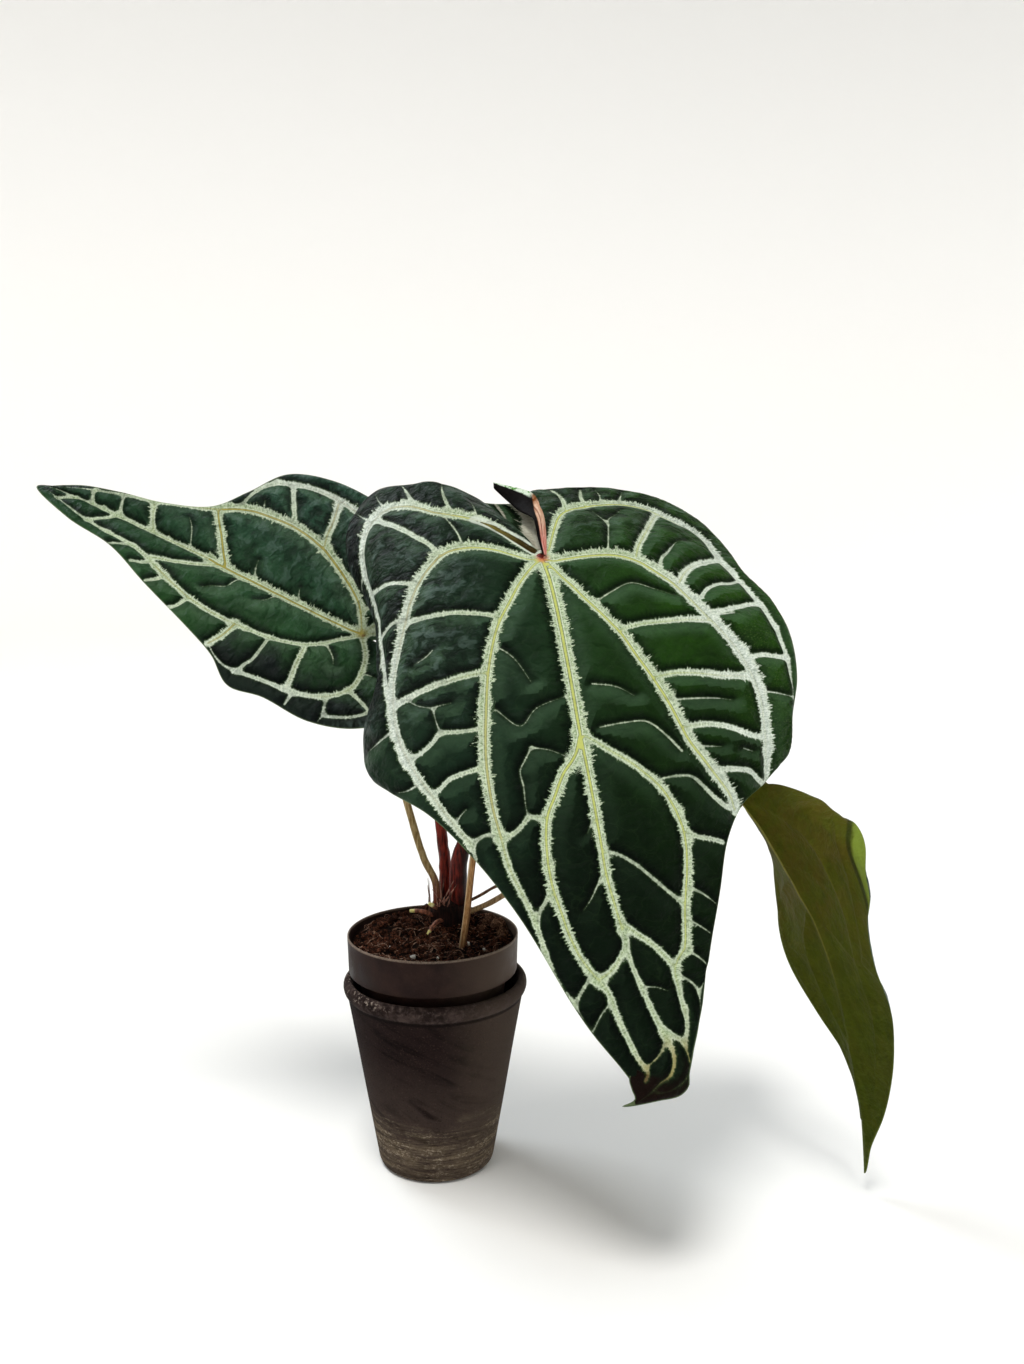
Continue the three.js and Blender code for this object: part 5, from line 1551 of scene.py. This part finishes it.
def cover_pot():
    """The clay pot with its rolled rim."""
    profile = [(0, 0), (36.8, 0), (39.7, 1.2), (41, 4), (61.9, 125.6), (63.8, 127.4),
               (64.8, 130.8), (64.4, 134.2), (62.4, 136.6), (60.2, 136.8), (58.2, 135),
               (55.9, 125.6), (36.4, 12), (32.9, 9), (0, 9)]
    radii = [2, 1.5, 2, 1.2, 1.5, 2, 2, 1.5, 1.5, 1.5, 3, 3, 3]
    return turned("cover_pot", "outer_pot", profile, radii, (0, 0), clay_material(), 0.35, 3)


def nursery_pot():
    """The plastic pot with its wide band and thin lip."""
    profile = [(0, 58), (42.48, 58), (52.2, 142), (59.2, 142), (60, 167.5), (59.5, 168.1),
               (58.8, 167.5), (58, 143.2), (51, 143.2), (41.28, 59.2), (0, 59.2)]
    radii = [1, 0.6, 0.5, 0.5, 0.3, 0.3, 0.5, 0.5, 0.5, 0.5]
    points, faces = lathe(rounded(profile, radii, 3), POT_SIDES, POT_AXIS)
    piece = mesh_object("plastic_pot", points, faces, [pot_plastic_material()])
    return place(piece, "pot_plastic", "nursery_pot")


# ------------------------------------------------------------------------------------ soil

SOIL_LEVEL = 160.0
SOIL_RADIUS = 57.2
STEM_SPOT = (9, 30)
STEM_CLEARANCE = 15
STAKE_SPOT = (18, -19)
STAKE_CLEARANCE = 4


def soil_height(x, y):
    """Height of the uneven soil, which is heaped up behind the stem."""
    rough = 1.3 * lattice_noise(x, y, 9, 11) + 0.9 * lattice_noise(x, y, 3.1, 12)
    from_stem = (x - STEM_SPOT[0]) ** 2 + (y - STEM_SPOT[1]) ** 2
    heap = 3.5 * np.exp(-from_stem / 500) + 5.0 * smoothstep(-25, 45, y)
    edge = smoothstep(SOIL_RADIUS, SOIL_RADIUS - 12, np.hypot(x - POT_AXIS[0], y))
    return SOIL_LEVEL - 1.2 + 1.4 * edge + rough * (0.5 + 0.5 * edge) + heap


def soil_bed():
    """The potting mix: a plug that fills the nursery pot, with an uneven top."""
    sides = [(0, 59.5), (40.98, 59.5), (50.7, 143.5), (57.5, 143.5)]
    rings = [(radius, SOIL_LEVEL) for radius in np.linspace(SOIL_RADIUS, 0, 48)]
    points, faces = lathe(sides + rings, 192, POT_AXIS)
    on_top = points[:, 2] > SOIL_LEVEL - 1
    points[on_top, 2] = soil_height(points[on_top, 0], points[on_top, 1])
    material = soil_material("soil", "060302", "2e1b12", 2.4)
    piece = mesh_object("potting_mix", points, faces, [material])
    return place(piece, "soil", "potting_soil")


def chunk(random, centre, size):
    """A crumb of bark: a box with moved corners and a dent in every side."""
    stretch = random.uniform(0.45, 1.0, 3) * size / 2
    corners = np.array([(a, b, c) for a in (-1, 1) for b in (-1, 1) for c in (-1, 1)], float)
    corners *= random.uniform(0.6, 1.0, (8, 3))
    centres = np.array([np.eye(3)[axis] * a for axis in range(3) for a in (-1, 1)])
    centres *= random.uniform(0.8, 1.15, (6, 1))
    points = np.vstack([corners, centres]) * stretch
    turn = random.normal(size=(3, 3))
    turn, _ = np.linalg.qr(turn)
    if np.linalg.det(turn) < 0:
        turn[:, 0] *= -1
    faces = []
    quads = ((0, 1, 3, 2), (4, 6, 7, 5), (0, 4, 5, 1), (2, 3, 7, 6), (0, 2, 6, 4), (1, 5, 7, 3))
    for k, quad in enumerate(quads):
        faces += [(a, b, 8 + k) for a, b in zip(quad, quad[1:] + quad[:1])]
    return points @ turn.T + centre, faces


def scattered(random, count):
    """Random spots on the soil, clear of the stem and the stake."""
    spots = []
    while len(spots) < count:
        angle = random.uniform(0, 2 * math.pi)
        radius = math.sqrt(random.uniform(0, (SOIL_RADIUS - 2) ** 2))
        x, y = POT_AXIS[0] + radius * math.cos(angle), radius * math.sin(angle)
        from_stem = math.hypot(x - STEM_SPOT[0], y - STEM_SPOT[1])
        from_stake = math.hypot(x - STAKE_SPOT[0], y - STAKE_SPOT[1])
        if from_stem > STEM_CLEARANCE and from_stake > STAKE_CLEARANCE:
            spots.append((x, y, float(soil_height(x, y))))
    return spots


def fibre(random, spot, length, radius):
    """A thin dead root that lies curled on the soil."""
    heading = random.uniform(0, 2 * math.pi)
    stations = []
    x, y, _ = spot
    lift = random.uniform(0, 2.2)
    for k in range(5):
        share = k / 4
        height = soil_height(x, y) + 0.25 + lift * 4 * share * (1 - share)
        thick = radius * (1 - 0.5 * share)
        stations.append((x, y, float(height), thick, thick))
        heading += random.uniform(-0.7, 0.7)
        x += math.cos(heading) * length / 4
        y += math.sin(heading) * length / 4
        off_centre = math.hypot(x - POT_AXIS[0], y)
        limit = SOIL_RADIUS - 1.5
        if off_centre > limit:
            x = POT_AXIS[0] + (x - POT_AXIS[0]) * limit / off_centre
            y = y * limit / off_centre
    return tube(stations, 5, 1.4)


# Single pieces on the soil: (x, y, size).

WHITE_GRAINS = [(23.6, -11.4, 3.6), (35, -19.4, 2.6), (-13, -33, 3.6), (-30, -18, 1.8),
                (4, -38, 2)]
BARK_CHUNKS = [(36, 24, 12), (44, 18, 13), (39, 31, 10), (47, 9, 9), (33, 13, 8), (46, 26, 9)]
BACK_LITTER = [(-17, 42, 9), (-25, 38, 8), (-9, 45, 8), (-33, 31, 7), (-20, 45, 6), (-3, 47, 6)]


def lying(random, spots, raised):
    """Chunks at given spots (x, y, size), their middles raised by a share of their size."""
    return [chunk(random, (x, y, float(soil_height(x, y)) + raised * size), size)
            for x, y, size in spots]


LITTER_SEED = 21


def soil_litter():
    """Bark crumbs, dead roots and a few white grains, all lying on the soil."""
    random = np.random.default_rng(LITTER_SEED)
    crumbs = [chunk(random, spot, random.uniform(1.8, 6.5)) for spot in scattered(random, 700)]
    pale = [chunk(random, spot, random.uniform(1.4, 3.4)) for spot in scattered(random, 190)]
    roots = [fibre(random, spot, random.uniform(6, 18), random.uniform(0.2, 0.45))
             for spot in scattered(random, 200)]
    grains = [chunk(random, (x, y, float(soil_height(x, y)) + 1.2), size)
              for x, y, size in WHITE_GRAINS]
    crumbs += lying(random, BACK_LITTER, 0.3)
    pale += lying(random, BARK_CHUNKS, 0.2)
    kinds = (("bark_crumbs", crumbs, soil_material("bark_dark", "0b0503", "7c4c38", 1.2)),
             ("bark_pale", pale, soil_material("bark_pale", "3c2218", "c4987a", 1.0)),
             ("dead_roots", roots, soil_material("dead_root", "5a382a", "dab8a0", 1.0)),
             ("white_grains", grains, soil_material("grain", "e6e2da", "fbfaf6", 0.8)))
    for name, parts, material in kinds:
        points, faces, _ = joined(parts)
        place(mesh_object(name, points, faces, [material]), "soil")


# ------------------------------------------------------------------------------------ stems

CROWN = [(9, 30, 150, 11, 11), (9, 30, 162, 13.5, 13.5), (9, 30, 173, 14, 14),
         (9, 30, 180, 13.2, 13.2), (9, 30, 183.5, 10, 10)]

# Stalks, shoot and roots: points (x, y, z, radius) from the root end up.

STALKS = {
    "front": [(15, 26, 180, 6.8), (15.2, 26, 190, 6.4), (16.3, 26, 212, 6.2), (20, 26, 226, 5.2),
              (34, 25, 290, 3.6), (52, 6, 360, 3.3), (66, -25, 408, 3.4), (71.5, -44, 424, 4.4)],
    "left": [(0.6, 24.4, 180, 3.0), (-1.2, 24.2, 197, 2.6), (-9, 24, 214, 2.6),
             (-20.4, 28, 251.6, 2.6), (-38, 36, 322, 2.4), (-50, 36, 360, 2.9)],
    "right": [(21, 24, 173.5, 2.2), (33.5, 18, 180.5, 2.0), (43, 16, 186, 2.1),
              (86, 17, 215, 2.1), (140, 15, 250, 2.1), (190, 6, 269, 2.6)],
}
NEW_SHOOT = [(5, 34.5, 180, 4.6), (5.4, 34.5, 207, 4.3), (3.2, 34, 229, 3.9), (0, 34, 262, 2.8),
             (-2, 35, 292, 0.6)]
AERIAL_ROOT = [(20, 23, 181, 1.1), (31.5, 18, 188.5, 1.1), (43, 12, 197, 1.1),
               (56, 6, 203, 1.1), (68, 2, 199, 1.1), (74, 0, 186, 1.1), (76, -1, 168, 0.8)]
ROOT_TIPS = {
    "root_left": [(-3, 23.5, 172, 1.6), (-11, 21.5, 175.5, 1.6), (-19.5, 23.5, 175, 1.2)],
    "root_middle": [(4, 17.5, 170, 1.6), (0.5, 12, 170.5, 1.6), (-3, 9, 167, 1.5),
                    (-6, 6.5, 162.6, 1)],
    "root_upper": [(1, 20, 178, 1.5), (-2.4, 17.4, 181, 1.5), (-5.5, 17, 183, 1.1)],
}
DRY_STUB = [(43, -1, 161.9, 1.5), (49, 9, 162.4, 1.7), (51.5, 19, 161.9, 1)]

# Strips of old leaf sheath that cling to the front of the crown: foot and tip.

TORN_SCRAPS = [((3, 18, 181), (13, 14.5, 201)), ((5, 17.5, 182), (15.5, 15, 198.5)),
               ((1, 18.5, 180), (-1, 17, 205)), ((3.5, 17.5, 181), (3, 16, 208)),
               ((6, 17.2, 181), (-3, 15.5, 194)), ((8, 17, 180), (12, 14, 193)),
               ((2, 18.5, 179), (6.5, 15.5, 204))]


def round_stations(points):
    """Stations of a round tube from points with one radius each."""
    return [(x, y, z, radius, radius) for x, y, z, radius in points]


def stalk(name, node, points, leaf, slot, material):
    """A leaf's stalk, up to the swelling where it meets the back of the blade."""
    top = blade_axes(leaf, np.array([0.0]))[2][0]
    below = np.array(leaf["base"]) - top * PETIOLE_END_GAP
    end = (*(below - top * 0.4), points[-1][3] * 0.9)
    stations = round_stations(points + [end])
    solid = tube(stations, 22, 1.6, lumps=0.05, seed=len(name))
    return place(mesh_object(name, *solid, [material]), slot, node)


def shoot(material):
    """The new leaf, still rolled up in its red sheath."""
    solid = tube(round_stations(NEW_SHOOT), 20, 1.5, lumps=0.09, seed=4)
    return place(mesh_object("rolled_new_leaf", *solid, [material]), "stem", "new_shoot")


def sheath(name, node, foot, height, out, seed, material):
    """A dry sheath: torn strands of papery skin side by side, each ending at its own height."""
    random = np.random.default_rng(seed)
    parts = []
    for shift in np.linspace(-4.4, 4.4, 9):
        top = height * random.uniform(0.45, 1.0)
        bend = random.uniform(0.2, 1.0) * out
        turn = random.uniform(-1.6, 1.6)
        wide = random.uniform(0.55, 0.95)
        curve = 0.045 * shift * shift * math.copysign(1, out)
        stations = [(foot[0] - curve, foot[1] + shift, foot[2], wide, 0.22),
                    (foot[0] - curve, foot[1] + shift * 1.04, foot[2] + 0.4 * top, wide, 0.2),
                    (foot[0] - curve + 0.4 * bend, foot[1] + shift * 0.95 + 0.4 * turn,
                     foot[2] + 0.75 * top, wide * 0.8, 0.18),
                    (foot[0] - curve + bend, foot[1] + shift * 0.9 + turn, foot[2] + top,
                     0.15, 0.1)]
        parts.append(tube(stations, 8, 1.6, side=(0.2, -1, 0)))
    points, faces, _ = joined(parts)
    return place(mesh_object(name, points, faces, [material]), "dry_sheath", node)


STAKE_FOOT = (12.8, -23.8, 105.0)
STAKE_HEAD = (39.5, 6.8, 320.0)


def stake(material):
    """A split of bamboo: flat front, rounded back, cut square at both ends."""
    foot, head = np.array(STAKE_FOOT), np.array(STAKE_HEAD)
    section = [(-2.3, -1.2), (-2.0, -1.55), (-0.9, -1.6), (-0.5, -1.45), (0.6, -1.6), (2.1, -1.5),
               (2.35, -1.1), (2.35, 0.5), (1.7, 1.3), (0.6, 1.6), (-0.7, 1.6), (-1.8, 1.25),
               (-2.35, 0.4)]
    rows = 70
    points = []
    for row in range(rows):
        share = row / (rows - 1)
        centre = foot + (head - foot) * share
        centre = centre + (0.25 * math.sin(share * 21), 0.2 * math.sin(share * 13 + 1), 0)
        points += [centre + (x, y, 0) for x, y in section]
    sides = len(section)
    faces = grid_faces(rows, sides, True)
    faces.append(tuple(range(sides))[::-1])
    faces.append(tuple((rows - 1) * sides + k for k in range(sides)))
    return place(mesh_object("bamboo_split", points, faces, [material]), "bamboo", "bamboo_stake")


def crown(bark, torn_skin):
    """The short stem that carries everything, with strips of old sheath on its front."""
    parts = [tube(CROWN, 40, 1.1, lumps=0.13, seed=9)]
    for (x, y, z), (u, v, w) in TORN_SCRAPS:
        middle = ((x + u) / 2, (y + v) / 2 - 1.2, (z + w) / 2)
        stations = [(x, y, z, 0.8, 0.4), (*middle, 0.65, 0.35), (u, v, w, 0.12, 0.1)]
        parts.append(tube(stations, 7, 1.2))
    points, faces, owner = joined(parts)
    is_strip = [min(part, 1) for part in owner]
    piece = mesh_object("crown", points, faces, [bark, torn_skin], is_strip)
    place(piece, "stem", "crown_stem")


def roots(old_skin, young_skin):
    """The arching aerial root and the short green-tipped ones."""
    aerial = tube(round_stations(AERIAL_ROOT), 10, 1.2, lumps=0.12, seed=5)
    place(mesh_object("arching_root", *aerial, [old_skin]), "dry_sheath", "aerial_root")
    for number, (node, points) in enumerate(ROOT_TIPS.items()):
        points, faces = tube(round_stations(points), 12, 0.9, lumps=0.1, seed=40 + number)
        tip = mesh_object(node + "_tip", points, faces, [young_skin])
        set_attribute(tip, "to_tip", np.linalg.norm(points - points[-1], axis=1))
        place(tip, "root", node)


def stems():
    """Everything that stands in the soil below the blades."""
    red = stem_material("petiole_red", "380a07", "8a2a1a", "1c0907", (172, 206), shaded_x=(12, 21))
    olive = stem_material("petiole_olive", "7a6238", "b09a6c", "6b3526", (192, 225))
    tan = stem_material("petiole_tan", "7a5f42", "b89a70", "5c3526", (170, 190))
    bark = stem_material("crown_bark", "0b0504", "2c1510", roughness=0.75)
    dry = stem_material("dry_sheath", "3c2017", "8a5a3e", roughness=0.8)
    scrap = stem_material("torn_sheath", "2a120d", "c08a76", roughness=0.8)
    brown_root = stem_material("aerial_root", "4a2f22", "7d5a42", roughness=0.7)
    crown(bark, scrap)
    stalk("stalk_front", "petiole_front", STALKS["front"], LEAF_FRONT, "stem", red)
    stalk("stalk_left", "petiole_left", STALKS["left"], LEAF_LEFT, "petiole", olive)
    stalk("stalk_right", "petiole_right", STALKS["right"], LEAF_RIGHT, "petiole", tan)
    shoot(red)
    sheath("sheath_left", "cataphyll_left", (-6.0, 30, 160), 39, -1.6, 31, dry)
    sheath("sheath_right", "cataphyll_right", (24.0, 34, 160), 42, 1.6, 32, dry)
    roots(brown_root, root_material())
    twig = tube(round_stations(DRY_STUB), 9, 1.0, lumps=0.25, seed=6)
    place(mesh_object("dry_twig", *twig, [brown_root]), "dry_sheath", "dry_stub")
    stake(wood_material())


# ------------------------------------------------------------------------------------ the plant


def leaves():
    """The three leaves with their materials."""
    under = leaf_underside_material("leaf_underside")
    rolled = leaf_underside_material("leaf_rolled_underside", rolled_margin=True)
    front = leaf_top_material("leaf_front_top", LOOK_FRONT)
    side = leaf_top_material("leaf_side_top", LOOK_SIDE)
    leaf_piece("front_blade", "leaf_front",
               [blade(LEAF_FRONT, VEINS_FRONT, 1.9, (0.3, 0.95), LOBE_GROOVE), lobe_overlap(),
                standing_margin()],
               [front, under, leaf_fold_material()])
    leaf_piece("left_blade", "leaf_left", [blade(LEAF_LEFT, VEINS_LEFT, 1.6, (0.95, -0.3))],
               [side, under])
    leaf_piece("right_blade", "leaf_right", [blade(LEAF_RIGHT, VEINS_RIGHT, 1.8, (0, 1))],
               [side, rolled])


# ------------------------------------------------------------------------------------ studio

CAMERA_PLACE = (54.3, -848.7, 464.8)
CAMERA_FALL = 8.0        # degrees below the horizon
SENSOR_WIDTH = 36.0
FOCAL_LENGTH = 32.991
FLOOR_RADIUS = 4000.0    # the level part of the floor
SWEEP_RADIUS = 4000.0    # the curve between floor and wall
WALL_TOP = 6500.0

# Soft lights: name, direction, spread in degrees, strength and colour.
LIGHTS = [("key", (-0.1, -0.3, 1.0), 18, 1.9, (1.0, 0.99, 0.96)),
          ("window", (-0.55, 0.5, 0.8), 24, 1.3, (0.86, 0.94, 1.0)),
          ("fill", (0.85, -0.5, 0.45), 35, 0.5, (1.0, 0.97, 0.93))]


def studio():
    """A pale floor that curves up into walls, a pale world and three soft lights."""
    sweep = [(FLOOR_RADIUS + SWEEP_RADIUS * math.sin(a), SWEEP_RADIUS * (1 - math.cos(a)))
             for a in np.linspace(0, math.pi / 2, 24)]
    outside = FLOOR_RADIUS + SWEEP_RADIUS + 100
    bowl = [(0, -40), (outside, -40), (outside, WALL_TOP), (outside - 100, WALL_TOP)]
    bowl += sweep[::-1] + [(0, 0)]
    floor = mesh_object("floor", *lathe(bowl, 96),
                        [Nodes("floor", Base_Color="f4f3f1", Roughness=0.9).material])
    world = bpy.data.worlds.new("studio")
    world.use_nodes = True
    tree = world.node_tree
    background = tree.nodes["Background"]
    background.inputs["Color"].default_value = srgb("fbfbfa")
    background.inputs["Strength"].default_value = 0.24
    backdrop = tree.nodes.new("ShaderNodeBackground")
    backdrop.inputs["Color"].default_value = srgb("f2f1ef")
    rays = tree.nodes.new("ShaderNodeLightPath")
    choice = tree.nodes.new("ShaderNodeMixShader")
    tree.links.new(rays.outputs["Is Camera Ray"], choice.inputs[0])
    tree.links.new(background.outputs[0], choice.inputs[1])
    tree.links.new(backdrop.outputs[0], choice.inputs[2])
    tree.links.new(choice.outputs[0], tree.nodes["World Output"].inputs["Surface"])
    bpy.context.scene.world = world
    for light in LIGHTS:
        soft_light(*light)


def soft_light(name, towards, spread, strength, colour):
    """Broad light from far off in the given direction, spread over an angle in degrees."""
    light = bpy.data.lights.new(name, "SUN")
    light.angle = math.radians(spread)
    light.energy = strength
    light.color = colour
    lamp = bpy.data.objects.new(name, light)
    lamp.rotation_euler = Vector(towards).to_track_quat("Z", "Y").to_euler()
    bpy.context.scene.collection.objects.link(lamp)


def camera():
    """The viewer's eye."""
    data = bpy.data.cameras.new("camera")
    data.lens = FOCAL_LENGTH
    data.sensor_width = SENSOR_WIDTH
    data.clip_end = 100
    eye = bpy.data.objects.new("camera", data)
    eye.location = Vector(CAMERA_PLACE) * MM
    eye.rotation_euler = (math.radians(90 - CAMERA_FALL), 0, 0)
    bpy.context.scene.collection.objects.link(eye)
    bpy.context.scene.camera = eye


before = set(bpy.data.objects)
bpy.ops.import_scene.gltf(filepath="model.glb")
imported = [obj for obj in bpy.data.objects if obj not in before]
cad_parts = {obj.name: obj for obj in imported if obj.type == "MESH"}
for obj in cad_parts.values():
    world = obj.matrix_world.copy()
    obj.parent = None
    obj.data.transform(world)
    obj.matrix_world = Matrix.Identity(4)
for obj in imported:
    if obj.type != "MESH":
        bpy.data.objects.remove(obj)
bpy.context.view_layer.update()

cover_pot()
nursery_pot()
soil_bed()
soil_litter()
stems()
leaves()
studio()
camera()
bpy.context.scene.view_settings.view_transform = "Standard"
